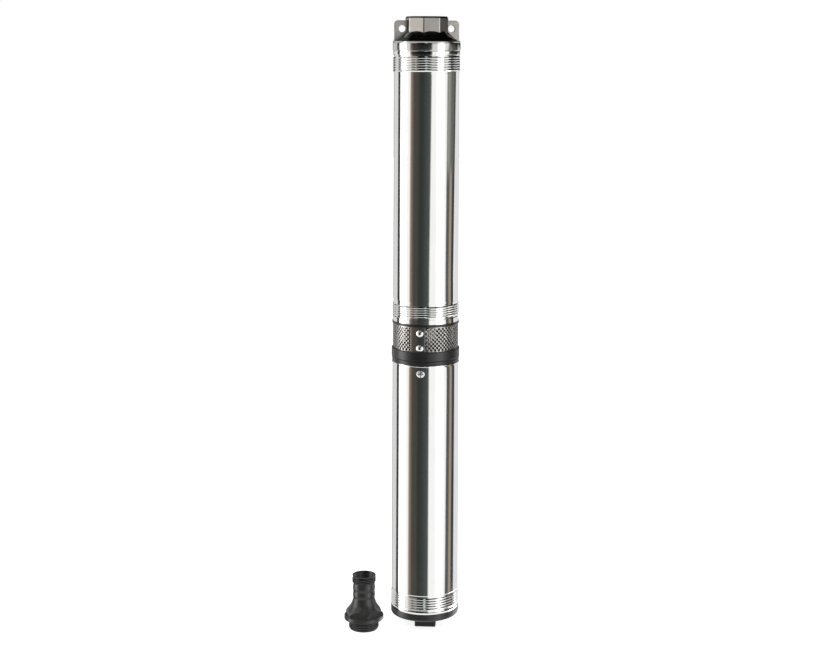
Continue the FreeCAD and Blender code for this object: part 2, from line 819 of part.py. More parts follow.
def hose_adapter():
    """Moulded adapter: pipe thread, flange, hexagon, barbed neck and a smaller thread on top."""
    body = new_body("hose_adapter")
    body.setExpression("Placement.Base.x", "sizes.adapter_x")
    body.setExpression("Placement.Base.y", "sizes.adapter_y")
    body.setExpression("Placement.Rotation.Angle", "sizes.adapter_turn")
    thread = "sizes.adapter_thread_radius"
    flange = "sizes.adapter_flange_radius"
    neck = "sizes.adapter_neck_radius"
    tip = "sizes.adapter_tip_radius"
    flange_base = "sizes.adapter_thread_length"
    hex_base = f"({flange_base} + sizes.adapter_flange_height)"
    hex_top = f"({hex_base} + sizes.adapter_hex_height)"
    neck_base = f"({hex_top} + sizes.adapter_cone_height)"
    tip_base = f"({neck_base} + sizes.adapter_neck_length)"
    top = f"({tip_base} + sizes.adapter_tip_length)"
    cone_foot = "sizes.adapter_cone_radius"
    turned(
        body,
        "spigot",
        [
            ("0", "0"),
            (thread, "0"),
            (thread, flange_base),
            (flange, flange_base),
            (flange, hex_base),
            (cone_foot, hex_base),
            (cone_foot, hex_top),
            (neck, neck_base),
            (neck, tip_base),
            (tip, tip_base),
            (tip, top),
            ("0", top),
        ],
    )
    hexagonal_rod(body, "hexagon", "sizes.adapter_hex_flats", hex_base, "sizes.adapter_hex_height")
    hole = new_sketch(body, "bore_section", "XY_Plane")
    circle(hole, "sizes.adapter_bore_radius")
    pocketed(body, "bore", hole, top, True)


SUB_PARTS = [
    bottom_cap,
    motor_shell,
    motor_flange,
    suction_body,
    strainer,
    pump_shell,
    discharge_head,
    outlet_socket,
    lifting_ears,
    check_valve,
    pump_shaft,
    shaft_coupling,
    shaft_nut,
    impellers,
    diffusers,
    seal_gland,
    motor_shaft,
    rotor_core,
    stator_core,
    coil_ends,
    bearing_bushes,
    thrust_pad,
    cable_gland,
    hose_adapter,
]

for make in SUB_PARTS:
    make()
doc.recompute()

for item in doc.Objects:
    if "Invalid" in item.State or "Error" in item.State:
        raise RuntimeError(f"{item.Label}: {item.getStatusString()}")

bodies = [item for item in doc.Objects if item.TypeId == "PartDesign::Body"]
for body in bodies:
    if body.Shape.isNull() or not body.Shape.isValid():
        raise RuntimeError(f"{body.Label} has no valid shape")

os.makedirs("parts", exist_ok=True)
for body in bodies:
    body.Shape.exportStep(f"parts/{body.Label}.step")
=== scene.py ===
from math import atan2, cos, degrees, hypot, pi, radians, sin, tan

import bmesh
import bpy
from mathutils import Matrix, Vector


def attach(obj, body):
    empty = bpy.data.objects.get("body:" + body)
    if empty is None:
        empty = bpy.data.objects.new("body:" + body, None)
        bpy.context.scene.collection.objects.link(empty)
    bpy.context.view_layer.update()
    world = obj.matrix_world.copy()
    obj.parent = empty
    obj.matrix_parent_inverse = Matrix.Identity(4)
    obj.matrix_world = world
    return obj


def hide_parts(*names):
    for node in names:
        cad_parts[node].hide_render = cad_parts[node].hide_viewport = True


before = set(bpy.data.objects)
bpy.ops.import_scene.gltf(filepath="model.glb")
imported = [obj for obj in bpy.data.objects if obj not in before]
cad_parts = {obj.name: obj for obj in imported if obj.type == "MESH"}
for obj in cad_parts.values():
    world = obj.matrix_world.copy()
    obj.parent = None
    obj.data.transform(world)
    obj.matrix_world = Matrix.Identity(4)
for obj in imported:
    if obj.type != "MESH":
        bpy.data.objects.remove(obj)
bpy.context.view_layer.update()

# Camera
# A level camera 2.26 m in front of the pump and as high as its outlet, with the lens shifted down.
# The picture is 813 by 656, and its horizon lies near the top edge.
MM = 0.001
camera_place = (-28.6, -2264.0, 825.7)
camera_roll = radians(-0.225)
sensor_width = 36
focal_length = 70.8
lens_shift = -0.354
nearest_seen = 0.05
farthest_seen = 60


def placed(name, data):
    """A new object in the scene, from its mesh, lamp, camera or curve."""
    piece = bpy.data.objects.new(name, data)
    bpy.context.scene.collection.objects.link(piece)
    return piece


camera_lens = bpy.data.cameras.new("studio_camera")
camera_lens.sensor_fit = "HORIZONTAL"
camera_lens.sensor_width = sensor_width
camera_lens.lens = focal_length
camera_lens.shift_y = lens_shift
camera_lens.clip_start = nearest_seen
camera_lens.clip_end = farthest_seen
camera = placed("studio_camera", camera_lens)
camera.location = Vector(camera_place) * MM
camera.rotation_euler = (pi / 2, camera_roll, 0)
bpy.context.scene.camera = camera
bpy.context.scene.view_settings.view_transform = "Standard"


# Studio world
# A white tent all round: what the camera, the metal and any glass see of it is white,
# and what lights the object is a soft grey share of it.
def from_hex(code):
    """An sRGB hex colour as linear values."""
    channels = [int(code[place : place + 2], 16) / 255 for place in (1, 3, 5)]
    linear = [c / 12.92 if c <= 0.04045 else ((c + 0.055) / 1.055) ** 2.4 for c in channels]
    return (*linear, 1.0)


def add(tree, kind, settings=None, links=None):
    """A shader node with its settings, and with links from the sockets that feed it."""
    node = tree.nodes.new("ShaderNode" + kind)
    for name, value in (settings or {}).items():
        if isinstance(name, int) or name in node.inputs:
            node.inputs[name].default_value = value
        else:
            setattr(node, name, value)
    for name, socket in (links or {}).items():
        tree.links.new(socket, node.inputs[name])
    return node


tent_light = 0.62


def empty_tree(owner):
    """The node tree of a world or a material, cleared."""
    owner.use_nodes = True
    owner.node_tree.nodes.clear()
    return owner.node_tree


def looked_at(tree):
    """1 for what the camera sees straight, mirrored or through glass, and 0 for what only lights."""
    path = add(tree, "LightPath").outputs
    seen = add(tree, "Math", {"operation": "MAXIMUM"}, {0: path["Is Camera Ray"], 1: path["Is Glossy Ray"]})
    seen = add(tree, "Math", {"operation": "MAXIMUM"}, {0: seen.outputs[0], 1: path["Is Transmission Ray"]})
    return seen.outputs[0]


world = bpy.data.worlds.new("white_tent")
bpy.context.scene.world = world
tree = empty_tree(world)
lighting = add(tree, "Background", {"Color": from_hex("#FFFFFF"), "Strength": tent_light})
backdrop = add(tree, "Background", {"Color": from_hex("#FFFFFF"), "Strength": 1.0})
both = add(tree, "MixShader", None, {0: looked_at(tree), 1: lighting.outputs[0], 2: backdrop.outputs[0]})
add(tree, "OutputWorld", None, {"Surface": both.outputs[0]})

# Floor
# A white paper sweep. The camera sees it white, and darker only where the pump keeps light off it:
# most of its white is its own, and the rest is the light that falls on it. Metal doesn't mirror it.
floor_half = 9.0
paper_own_white = 0.84


def coat(piece, *materials):
    """Gives a piece its materials, the first one for all faces that aren't told otherwise."""
    for material in materials:
        piece.data.materials.append(material)


def level_board(name, half_width, front, back, height):
    """A level rectangle, in metres."""
    mesh = bpy.data.meshes.new(name)
    left, right = -half_width, half_width
    corners = [(left, front, height), (right, front, height), (right, back, height), (left, back, height)]
    mesh.from_pydata(corners, [], [(0, 1, 2, 3)])
    return placed(name, mesh)


floor = level_board("paper_floor", floor_half, -floor_half, floor_half, 0)
floor.visible_glossy = False
paper = bpy.data.materials.new("white_paper")
tree = empty_tree(paper)
matt = add(tree, "BsdfDiffuse", {"Color": from_hex("#C8C8C8")})
white = add(tree, "Emission", {"Color": from_hex("#FFFFFF"), "Strength": paper_own_white})
shaded = add(tree, "AddShader", None, {0: white.outputs[0], 1: matt.outputs[0]})
both = add(tree, "MixShader", None, {0: looked_at(tree), 1: matt.outputs[0], 2: shaded.outputs[0]})
add(tree, "OutputMaterial", None, {"Surface": both.outputs[0]})
coat(floor, paper)

# Lamps
# A large soft box high on the left, a weaker one on the right and one behind. All of them face the
# middle of the pump, and the metal doesn't mirror them.
pump_middle = (0, 0, 0.45)


def soft_box(name, place, side, watts):
    """A square area lamp, placed and measured in metres."""
    light = bpy.data.lights.new(name, "AREA")
    light.size = side
    light.energy = watts
    lamp = placed(name, light)
    lamp.location = place
    aim = Vector(pump_middle) - lamp.location
    lamp.rotation_euler = aim.to_track_quat("-Z", "Y").to_euler()
    lamp.visible_glossy = False


soft_box("left_soft_box", (-1.7, -1.6, 2.3), 1.3, 34)
soft_box("right_soft_box", (2.0, -1.2, 1.6), 1.0, 12)
soft_box("back_soft_box", (0.6, 2.2, 2.0), 1.2, 14)


# Cards
# Upright cards round the pump, seen only as reflections: the shells are near mirrors, and these give
# them the dark, brown and beige strips of a product photograph.
def card(name, levels, tones, fade=0.15, reach=1.5, strength=1.0):
    """A curved card, with a height and two edges per level and a share and a colour per tone.

    Edges are azimuths in degrees, counted from the camera to the right."""
    mesh = bpy.data.meshes.new(name)
    columns = 24
    points = []
    faces = []
    for height, left, right in levels:
        for column in range(columns + 1):
            share = column / columns
            azimuth = radians(left + (right - left) * share - 90)
            points.append((reach * cos(azimuth), reach * sin(azimuth), height))
    for level in range(len(levels) - 1):
        for column in range(columns):
            corner = level * (columns + 1) + column
            faces.append((corner, corner + 1, corner + columns + 2, corner + columns + 1))
    mesh.from_pydata(points, [], faces)
    layer = mesh.uv_layers.new(name="across")
    for loop in mesh.loops:
        layer.data[loop.index].uv = (loop.vertex_index % (columns + 1) / columns, 0)
    material = bpy.data.materials.new(name + "_board")
    tree = empty_tree(material)
    spread = add(tree, "UVMap", {"uv_map": "across"})
    across = add(tree, "SeparateXYZ", None, {0: spread.outputs[0]}).outputs[0]
    blend = add(tree, "ValToRGB", None, {0: across})
    stops = blend.color_ramp.elements
    stops.remove(stops[1])
    for number, (share, code) in enumerate(tones):
        stop = stops.new(share) if number else stops[0]
        stop.position = share
        stop.color = from_hex(code)
    board = add(tree, "Emission", {"Strength": strength}, {"Color": blend.outputs["Color"]})
    mirrored = add(tree, "Math", {"operation": "SUBTRACT", 0: 1.0}, {1: across})
    nearest = add(tree, "Math", {"operation": "MINIMUM"}, {0: across, 1: mirrored.outputs[0]})
    edge = {"interpolation_type": "SMOOTHSTEP", "From Min": 0.0, "From Max": fade}
    opacity = add(tree, "MapRange", edge, {"Value": nearest.outputs[0]})
    clear = add(tree, "BsdfTransparent")
    soft = add(tree, "MixShader", None, {0: opacity.outputs[0], 1: clear.outputs[0], 2: board.outputs[0]})
    add(tree, "OutputMaterial", None, {"Surface": soft.outputs[0]})
    mesh.materials.append(material)
    reflected_only(placed(name, mesh))


def reflected_only(board):
    """Lets only reflections show a card."""
    board.visible_camera = False
    board.visible_diffuse = False
    board.visible_shadow = False
    board.visible_transmission = False


card_foot = -0.62
card(
    "front_card",
    [(card_foot, -63, 13), (0.28, -62, 14), (0.74, -61, 20), (2.38, -61, 20)],
    [
        (0.0, "#BCA89B"),
        (0.1, "#8A776D"),
        (0.22, "#4D4843"),
        (0.38, "#4A4744"),
        (0.5, "#363836"),
        (0.62, "#363B3B"),
        (0.76, "#434847"),
        (1.0, "#525958"),
    ],
    0.07,
)
card(
    "right_card",
    [(card_foot, 69, 116), (0.05, 76, 122), (0.17, 71, 115), (0.28, 70, 114), (0.52, 73, 121)],
    [
        (0.0, "#4E5153"),
        (0.3, "#5A5D5F"),
        (0.42, "#A89886"),
        (0.57, "#A39280"),
        (0.67, "#424246"),
        (1.0, "#36383C"),
    ],
    0.09,
)
card(
    "high_right_card",
    [(0.52, 73, 121), (0.8, 76, 131)],
    [
        (0.0, "#6A6C6C"),
        (0.24, "#9C9C96"),
        (0.45, "#6C6D66"),
        (0.74, "#64655E"),
        (0.86, "#303131"),
        (1.0, "#303131"),
    ],
    0.09,
)
card("left_card", [(card_foot, -120, -104.5), (2.1, -119, -104.5)], [(0.0, "#38393B")], 0.1)
card("back_card", [(card_foot, 157, 203), (1.3, 157, 203)], [(0.0, "#3A3C3E")], 0.2)
card("collar_card", [(0.782, -58, 22), (0.9, -58, 22)], [(0.0, "#0E1010")], 0.12, 1.3)
card("right_head_card", [(0.8, 80, 176), (2.3, 80, 176)], [(0.0, "#060606")], 0.05, 1.35)
card(
    "front_head_card",
    [(0.86, -30, 56), (2.2, -30, 56)],
    [(0.0, "#0A0A0A"), (0.26, "#0A0A0A"), (0.34, "#444443"), (1.0, "#444443")],
    0.08,
    1.35,
)
card("left_head_card", [(0.84, -176, -136), (1.3, -176, -136)], [(0.0, "#1E1F20")], 0.1, 1.35)
card("left_face_card", [(0.86, -100, -31), (1.9, -100, -31)], [(0.0, "#E2DCD4")], 0.1, 1.35)
card("left_low_card", [(-1.1, -178, -100), (-0.475, -178, -100)], [(0.0, "#1E1E1E")], 0.1, 1.45)
card("right_low_box", [(-1.1, 92, 158), (-0.475, 92, 158)], [(0.0, "#FFFFFF")], 0.2, 1.45, 3.5)
card("left_edge_card", [(card_foot, -178, -117), (2.1, -178, -117)], [(0.0, "#DCDCDB")], 0.1, 1.53)
card("right_edge_card", [(card_foot, 112, 156), (2.1, 128, 156)], [(0.0, "#E6E6EA")], 0.1, 1.53)
card("left_strip_box", [(card_foot, -103, -72), (1.8, -103, -72)], [(0.0, "#FFFFFF")], 0.2, 1.6, 4.0)
card("right_strip_box", [(card_foot, 34, 66), (1.8, 34, 66)], [(0.0, "#FFFFFF")], 0.3, 1.6, 2.6)
card("green_window", [(1.3, -8, 3), (3.8, -8, 3)], [(0.0, "#C9E4DB")], 0.15, 1.15, 2.0)

# Dark ceiling
# The studio's unlit roof, over the pump and behind it, reaching forward as far as the front card. It
# blackens whatever faces up: the head's cone, the upper flanks of the threads and the rims of the rings.
ceiling_height = 2.4
ceiling_front = -1.45
ceiling_back = 5.0
ceiling_half_width = 3.5

ceiling = level_board("dark_ceiling", ceiling_half_width, ceiling_front, ceiling_back, ceiling_height)
roof = bpy.data.materials.new("dark_roof")
tree = empty_tree(roof)
board = add(tree, "Emission", {"Color": from_hex("#161718")})
add(tree, "OutputMaterial", None, {"Surface": board.outputs[0]})
coat(ceiling, roof)
reflected_only(ceiling)

# Bottom cap
# The motor's lower end cap, with the square lug that the pump stands on. It is injection moulded in
# glass-filled polyamide, with rounded outer edges, and its spigot is pressed into the motor shell.
cap_bottom = 18.5
cap_top = 28.4
cap_radius = 47.3
cap_round = 3.0
cap_spigot_radius = 45.3
cap_spigot_top = 42.4
cap_socket_radius = 11.1
cap_socket_floor = 18.9
lug_side = 27.4
lug_width = 29.4
lug_turn = radians(-4)
lug_shift = 1.6
lug_round = 1.6
nearly_straight = radians(150)
same_point = 1e-6
most_of_an_edge = 0.45
welded_within = 0.002


def softened(rows, radius, steps=3):
    """The rows of a closed profile with each plain corner rounded. Rows that change with the angle stay."""
    result = []
    for place, row in enumerate(rows):
        before = rows[place - 1]
        after = rows[(place + 1) % len(rows)]
        if any(callable(part) for near in (before, row, after) for part in near):
            result.append(row)
            continue
        corner = Vector(row)
        back = Vector(before) - corner
        ahead = Vector(after) - corner
        if min(back.length, ahead.length) < same_point or back.angle(ahead) > nearly_straight:
            result.append(row)
            continue
        opening = back.angle(ahead)
        longest = min(back.length * most_of_an_edge, ahead.length * most_of_an_edge)
        run = min(radius / tan(opening / 2), longest)
        start = corner + back.normalized() * run
        end = corner + ahead.normalized() * run
        for step in range(steps + 1):
            share = step / steps
            point = start * (1 - share) ** 2 + corner * 2 * share * (1 - share) + end * share**2
            result.append((point.x, point.y))
    return result


def softened_run(radius, *rows):
    """The same for a part of a profile: its two end rows, four each once rounded, only lead in and out."""
    return softened(rows, radius)[4:-4]


def lofted(name, rows, columns=192, centre=(0, 0), start=0.0):
    """A ring-shaped body from the rows of its closed profile.

    A row is a radius and a height in mm, and each may be a function of the angle."""
    shape = bmesh.new()
    rings = []
    for radius, height in rows:
        ring = []
        for column in range(columns):
            angle = start + 2 * pi * column / columns
            out = radius(angle) if callable(radius) else radius
            up = height(angle) if callable(height) else height
            point = Vector((centre[0] + out * cos(angle), centre[1] + out * sin(angle), up))
            ring.append(shape.verts.new(point * MM))
        rings.append(ring)
    for lower, upper in zip(rings, rings[1:] + rings[:1]):
        for column in range(columns):
            after = (column + 1) % columns
            shape.faces.new((lower[column], lower[after], upper[after], upper[column]))
    bmesh.ops.remove_doubles(shape, verts=shape.verts, dist=welded_within * MM)
    piece = finished(name, shape)
    flat_first = piece.modifiers.new("large_faces_lead", "WEIGHTED_NORMAL")
    flat_first.keep_sharp = True
    return piece


def smooth(mesh, sharp):
    """Shades a mesh smooth but for the edges that turn by more than this."""
    mesh.polygons.foreach_set("use_smooth", [True] * len(mesh.polygons))
    mesh.set_sharp_from_angle(angle=radians(sharp))


def finished(name, shape, sharp=38):
    """An object from a bmesh."""
    bmesh.ops.recalc_face_normals(shape, faces=shape.faces)
    mesh = bpy.data.meshes.new(name)
    shape.to_mesh(mesh)
    shape.free()
    smooth(mesh, sharp)
    return placed(name, mesh)


def prism(shape, corners, low, high, place=Matrix.Identity(4)):
    """Adds an upright prism on these corners, in mm, to a bmesh."""
    bottom = [shape.verts.new(place @ (Vector((x, y, low)) * MM)) for x, y in corners]
    top = [shape.verts.new(place @ (Vector((x, y, high)) * MM)) for x, y in corners]
    shape.faces.new(bottom[::-1])
    shape.faces.new(top)
    for index in range(len(corners)):
        after = (index + 1) % len(corners)
        shape.faces.new((bottom[index], bottom[after], top[after], top[index]))


def bevelled(piece, width, segments=3, angle=35):
    """Rounds a piece's sharp edges, as moulding or deburring leaves them."""
    bevel = piece.modifiers.new("edge_rounding", "BEVEL")
    bevel.width = width * MM
    bevel.segments = segments
    bevel.limit_method = "ANGLE"
    bevel.angle_limit = radians(angle)
    bevel.harden_normals = True


def start_material(name):
    """A new material, its tree, its shader and the link that lays a pattern on the object, in metres."""
    material = bpy.data.materials.new(name)
    tree = empty_tree(material)
    shader = add(tree, "BsdfPrincipled")
    add(tree, "OutputMaterial", None, {"Surface": shader.outputs[0]})
    return material, tree, shader, {"Vector": add(tree, "TexCoord").outputs["Object"]}


def skin(tree, shader, colour=None, gloss=None, relief=None, plain=None):
    """Gives a shader its skin, each part of it led by a pattern.

    The colour runs between two tones and the gloss between two roughnesses, the relief has a strength
    and a depth in mm, and the plain values are constant."""
    if colour:
        pattern, first, last = colour
        tones = {"data_type": "RGBA", 6: from_hex(first), 7: from_hex(last)}
        tone = add(tree, "Mix", tones, {0: pattern.outputs["Fac"]})
        tree.links.new(tone.outputs[2], shader.inputs["Base Color"])
    if gloss:
        pattern, least, most = gloss
        wear = add(tree, "MapRange", {"To Min": least, "To Max": most}, {"Value": pattern.outputs["Fac"]})
        tree.links.new(wear.outputs[0], shader.inputs["Roughness"])
    if relief:
        pattern, strength, depth = relief
        sizes = {"Strength": strength, "Distance": depth * MM}
        bump = add(tree, "Bump", sizes, {"Height": pattern.outputs["Fac"]})
        tree.links.new(bump.outputs[0], shader.inputs["Normal"])
    for socket, value in (plain or {}).items():
        shader.inputs[socket].default_value = value


# Glass-filled polyamide, moulded: near black, a little grey where the glass lies at the skin,
# with a fine spark-eroded grain that scatters the highlights.
moulded_polyamide, tree, shader, place = start_material("moulded_glass_filled_polyamide")
cloud = add(tree, "TexNoise", {"Scale": 1 / (9 * MM), "Detail": 4.0}, place)
grain = add(tree, "TexNoise", {"Scale": 1 / (0.7 * MM), "Detail": 2.0}, place)
skin(tree, shader, (cloud, "#161617", "#212122"), (cloud, 0.28, 0.42), (grain, 0.25, 0.05), {"IOR": 1.53})

cap_rows = [(cap_socket_radius, cap_socket_floor), (0.01, cap_socket_floor), (0.01, cap_bottom)]
for step in range(0, 9):
    swing = radians(step * 90 / 8)
    out = cap_radius - cap_round + cap_round * sin(swing)
    cap_rows.append((out, cap_bottom + cap_round - cap_round * cos(swing)))
cap_rows += softened_run(
    0.5,
    (cap_radius, cap_bottom + cap_round + 0.5),
    (cap_radius, cap_top),
    (cap_spigot_radius, cap_top),
    (cap_spigot_radius, cap_spigot_top),
    (cap_socket_radius, cap_spigot_top),
    (cap_socket_radius, cap_socket_floor + 2),
)
cap_ring = lofted("cap_ring", cap_rows)
shape = bmesh.new()
half = lug_side / 2
wide = lug_width / 2
prism(
    shape,
    [(-wide, -half), (wide, -half), (wide, half), (-wide, half)],
    0,
    cap_bottom + 0.2,
    Matrix.Translation((lug_shift * MM, 0, 0)) @ Matrix.Rotation(lug_turn, 4, "Z"),
)
lug = finished("cap_lug", shape, 30)
bevelled(lug, lug_round, 5)
for piece in (cap_ring, lug):
    coat(piece, moulded_polyamide)
    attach(piece, "pump")
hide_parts("bottom_cap")
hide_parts("bottom_cap")

# Motor shell
# A drawn stainless tube, polished near to a mirror, with a thread band rolled into its lower end and
# a flared upper lip. It carries the stator and is screwed to the upper end bell near its top.
motor_bottom = 28.4
motor_top = 373.4
motor_radius = 46.6
motor_lip_radius = 47.3
motor_bore = 45.4
motor_thread_bottom = 31.4
motor_thread_turns = 5
motor_thread_root = 46.0
motor_thread_pitch = 3.42
motor_thread_top = motor_thread_bottom + (motor_thread_turns + 1) * motor_thread_pitch
motor_flare = 0.9
motor_foot_taper = 0.45
thread_run_out = 0.04


def thread_rows(bottom, turns, root, crest, pitch, rows_per_turn=8):
    """The rows of a rounded helical thread of so many turns, which starts and ends at the back."""
    rows = []
    for index in range((turns + 1) * rows_per_turn + 1):
        height = bottom + pitch * index / rows_per_turn

        def radius(angle, height=height):
            round_from_back = ((angle - pi / 2) / (2 * pi)) % 1
            turn = (height - bottom) / pitch - round_from_back
            if not 0 < turn < turns:
                return root
            wave = 0.5 - 0.5 * cos(2 * pi * turn)
            start = round_from_back / thread_run_out if turn < 1 else 1
            end = (1 - round_from_back) / thread_run_out if turn > turns - 1 else 1
            return root + (crest - root) * wave**0.8 * min(1, start, end)

        rows.append((radius, height))
    return rows


# Austenitic stainless steel, centreless polished: bright and almost colourless, with faint lines
# round the tube that stretch each reflection a little along it.
polish_line = 1.1
polished_stainless, tree, shader, place = start_material("polished_stainless_tube")
stretched = add(tree, "Mapping", {"Scale": (25, 25, 1 / (polish_line * MM))}, place)
brushed = {"Scale": 1.0, "Detail": 3.0, "Roughness": 0.6}
lines = add(tree, "TexNoise", brushed, {"Vector": stretched.outputs[0]})
smears = add(tree, "TexNoise", {"Scale": 1 / (42 * MM), "Detail": 3.0}, place)
colour, gloss, relief = (smears, "#F0F0EE", "#F8F8F6"), (smears, 0.05, 0.13), (lines, 0.05, 0.02)
skin(tree, shader, colour, gloss, relief, {"Metallic": 1.0})

motor_rows = softened_run(
    0.45,
    (motor_bore, motor_top - 4),
    (motor_bore, motor_bottom),
    (motor_lip_radius - motor_foot_taper, motor_bottom),
    (motor_lip_radius, motor_thread_bottom - 0.2),
    (motor_thread_root, motor_thread_bottom + 0.6),
)
motor_rows += thread_rows(
    motor_thread_bottom + 0.8, motor_thread_turns, motor_thread_root, motor_lip_radius, motor_thread_pitch
)
motor_rows += softened(
    [
        (motor_thread_root, motor_thread_top + 1.0),
        (motor_radius, motor_thread_top + 2.6),
        (motor_radius, motor_top - 4.0),
        (motor_radius + motor_flare, motor_top - 1.2),
        (motor_radius + motor_flare, motor_top),
        (motor_bore, motor_top),
        (motor_bore, motor_top - 4),
    ],
    0.3,
)
motor_tube = lofted("motor_tube", motor_rows, 256)
coat(motor_tube, polished_stainless)
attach(motor_tube, "pump")
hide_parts("motor_shell")

# Shell screws
# Stainless cross-recessed pan-head screws through the motor shell into the end bell, one in front
# and the others a third of a turn away. Cold-headed, so the recess has soft edges.
screw_count = 3
screw_radius = 5.7
screw_rise = 1.85
screw_height = 362.3
screw_first = -99.2
screw_sunk = 0.35
screw_recess_reach = 4.4
screw_recess_width = 1.7
screw_recess_depth = 1.3
screw_recess_side = 0.25
screw_recess_end = 0.5
screw_recess_taper = 0.45


def pan_head(distance, angle):
    """The height of the screw's head at a distance from its middle, in mm."""
    share = distance / screw_radius
    dome = screw_rise * (1 - share**1.6) if share < 1 else 0
    x = abs(distance * cos(angle))
    y = abs(distance * sin(angle))
    along, across = max(x, y), min(x, y)
    beside = (screw_recess_width / 2 - across) / screw_recess_side
    beyond = (screw_recess_reach - along) / screw_recess_end
    sunk = max(0.0, min(1.0, min(beside, beyond) + 0.5))
    return dome - screw_recess_depth * sunk * (1 - screw_recess_taper * along / screw_recess_reach)


def head_mesh(name, radius, surface, rings=22, columns=72, skirt=0.5):
    """A domed fastener's head about its own axis, from a function that gives its height."""
    shape = bmesh.new()
    centre = shape.verts.new(Vector((0, 0, surface(0, 0))) * MM)
    before = None
    for ring in range(1, rings + 1):
        distance = radius * (ring / rings) ** 0.85
        row = []
        for column in range(columns):
            angle = 2 * pi * column / columns
            point = Vector((distance * cos(angle), distance * sin(angle), surface(distance, angle)))
            row.append(shape.verts.new(point * MM))
        for column in range(columns):
            after = (column + 1) % columns
            if before is None:
                shape.faces.new((centre, row[column], row[after]))
            else:
                shape.faces.new((before[column], row[column], row[after], before[after]))
        before = row
    low = [shape.verts.new(vert.co - Vector((0, 0, skirt + surface(radius, 0))) * MM) for vert in before]
    for column in range(columns):
        after = (column + 1) % columns
        shape.faces.new((before[column], low[column], low[after], before[after]))
    shape.faces.new(low)
    return finished(name, shape, 60)


def set_on_shell(piece, radius, azimuth, height):
    """Puts a fastener on a shell, with its axis pointing out and its mesh in the pump's own frame."""
    angle = radians(azimuth)
    out = Vector((cos(angle), sin(angle), 0))
    turn = out.to_track_quat("Z", "Y").to_matrix().to_4x4()
    piece.data.transform(Matrix.Translation(Vector((radius * out.x, radius * out.y, height)) * MM) @ turn)


# Stainless steel, cold-headed and tumbled: bright, with a slightly softer gloss than the tube.
tumbled_stainless, tree, shader, place = start_material("tumbled_stainless")
marks = add(tree, "TexNoise", {"Scale": 1 / (0.8 * MM), "Detail": 3.0}, place)
bright = {"Base Color": from_hex("#F2F1EF"), "Metallic": 1.0}
skin(tree, shader, None, (marks, 0.2, 0.32), (marks, 0.1, 0.02), bright)

for number in range(screw_count):
    screw = head_mesh(f"shell_screw_{number + 1}", screw_radius, pan_head, 26, 96)
    coat(screw, tumbled_stainless)
    set_on_shell(screw, motor_radius - screw_sunk, screw_first + number * 360 / screw_count, screw_height)
    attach(screw, "pump")

# Motor flange
# The rim of the motor's upper end bell, the thin lower lip of the thick black ring. Cast iron,
# machined and coated matt black, held in the shell by the screws.
flange_bottom = 373.4
flange_top = 379.8
flange_radius = 47.6
flange_spigot_radius = 45.3
flange_spigot_bottom = 349.4
flange_bore = 11.1

# Epoxy powder coat on cast iron: matt black with a faint orange-peel skin.
coated_iron, tree, shader, place = start_material("black_coated_iron")
peel = add(tree, "TexNoise", {"Scale": 1 / (1.6 * MM), "Detail": 2.0}, place)
skin(tree, shader, (peel, "#151516", "#1E1E1F"), None, (peel, 0.2, 0.06), {"Roughness": 0.34})

flange_ring = lofted(
    "end_bell_rim",
    softened(
        [
            (flange_bore, flange_top),
            (flange_bore, flange_spigot_bottom),
            (flange_spigot_radius, flange_spigot_bottom),
            (flange_spigot_radius, flange_bottom),
            (flange_radius - 0.9, flange_bottom),
            (flange_radius - 0.2, flange_bottom + 4.4),
            (flange_radius - 0.2, flange_top - 0.9),
            (flange_radius - 0.7, flange_top - 0.4),
            (flange_radius - 0.7, flange_top),
        ],
        0.4,
    ),
)
coat(flange_ring, coated_iron)
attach(flange_ring, "pump")
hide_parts("motor_flange")

# Suction body
# The black moulding between motor and pump: a thick ring, six posts behind the strainer and a thin
# top ring. Injection moulded in the same polyamide as the cap, and clamped between the shells.
suction_bottom = 379.8
suction_ring_top = 392.5
suction_radius = 48.0
suction_top_ring_bottom = 427.0
suction_top = 430.3
suction_top_radius = 47.2
suction_opening_flats = 66
post_count = 6
post_outer = 45.1
post_depth = 6
post_width = 9


def flats(across, sides, turn):
    """The distance to a regular polygon's side at each angle, where turn is the angle of a flat."""
    step = 2 * pi / sides

    def radius(angle):
        offset = (angle - turn + step / 2) % step - step / 2
        return across / 2 / cos(offset)

    return radius


opening = flats(suction_opening_flats, 6, 0.0)


def suction_ring(name, bottom, top, radius, rounding):
    """One of the moulding's rings, round outside and six-sided inside."""
    inner = radius - 6
    corners = [(inner, top), (inner, bottom), (radius, bottom), (radius, top), (inner, top)]
    outside = softened(corners, rounding)
    outside = [row for row in outside if row[0] > inner + 0.1]
    return lofted(name, [(opening, top), (opening, bottom)] + outside)


thick_ring = suction_ring("suction_thick_ring", suction_bottom, suction_ring_top, suction_radius, 1.1)
thin_ring = suction_ring("suction_thin_ring", suction_top_ring_bottom, suction_top, suction_top_radius, 0.4)
shape = bmesh.new()
post_inner, post_side = post_outer - post_depth, post_width / 2
post = [(post_inner, -post_side), (post_outer, -post_side), (post_outer, post_side), (post_inner, post_side)]
for number in range(post_count):
    turn = Matrix.Rotation(radians(number * 360 / post_count), 4, "Z")
    prism(shape, post, suction_ring_top - 0.2, suction_top_ring_bottom + 0.2, turn)
posts = finished("suction_posts", shape, 30)
bevelled(posts, 0.8)
for piece in (thick_ring, thin_ring, posts):
    coat(piece, moulded_polyamide)
    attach(piece, "pump")
    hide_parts("suction_body")

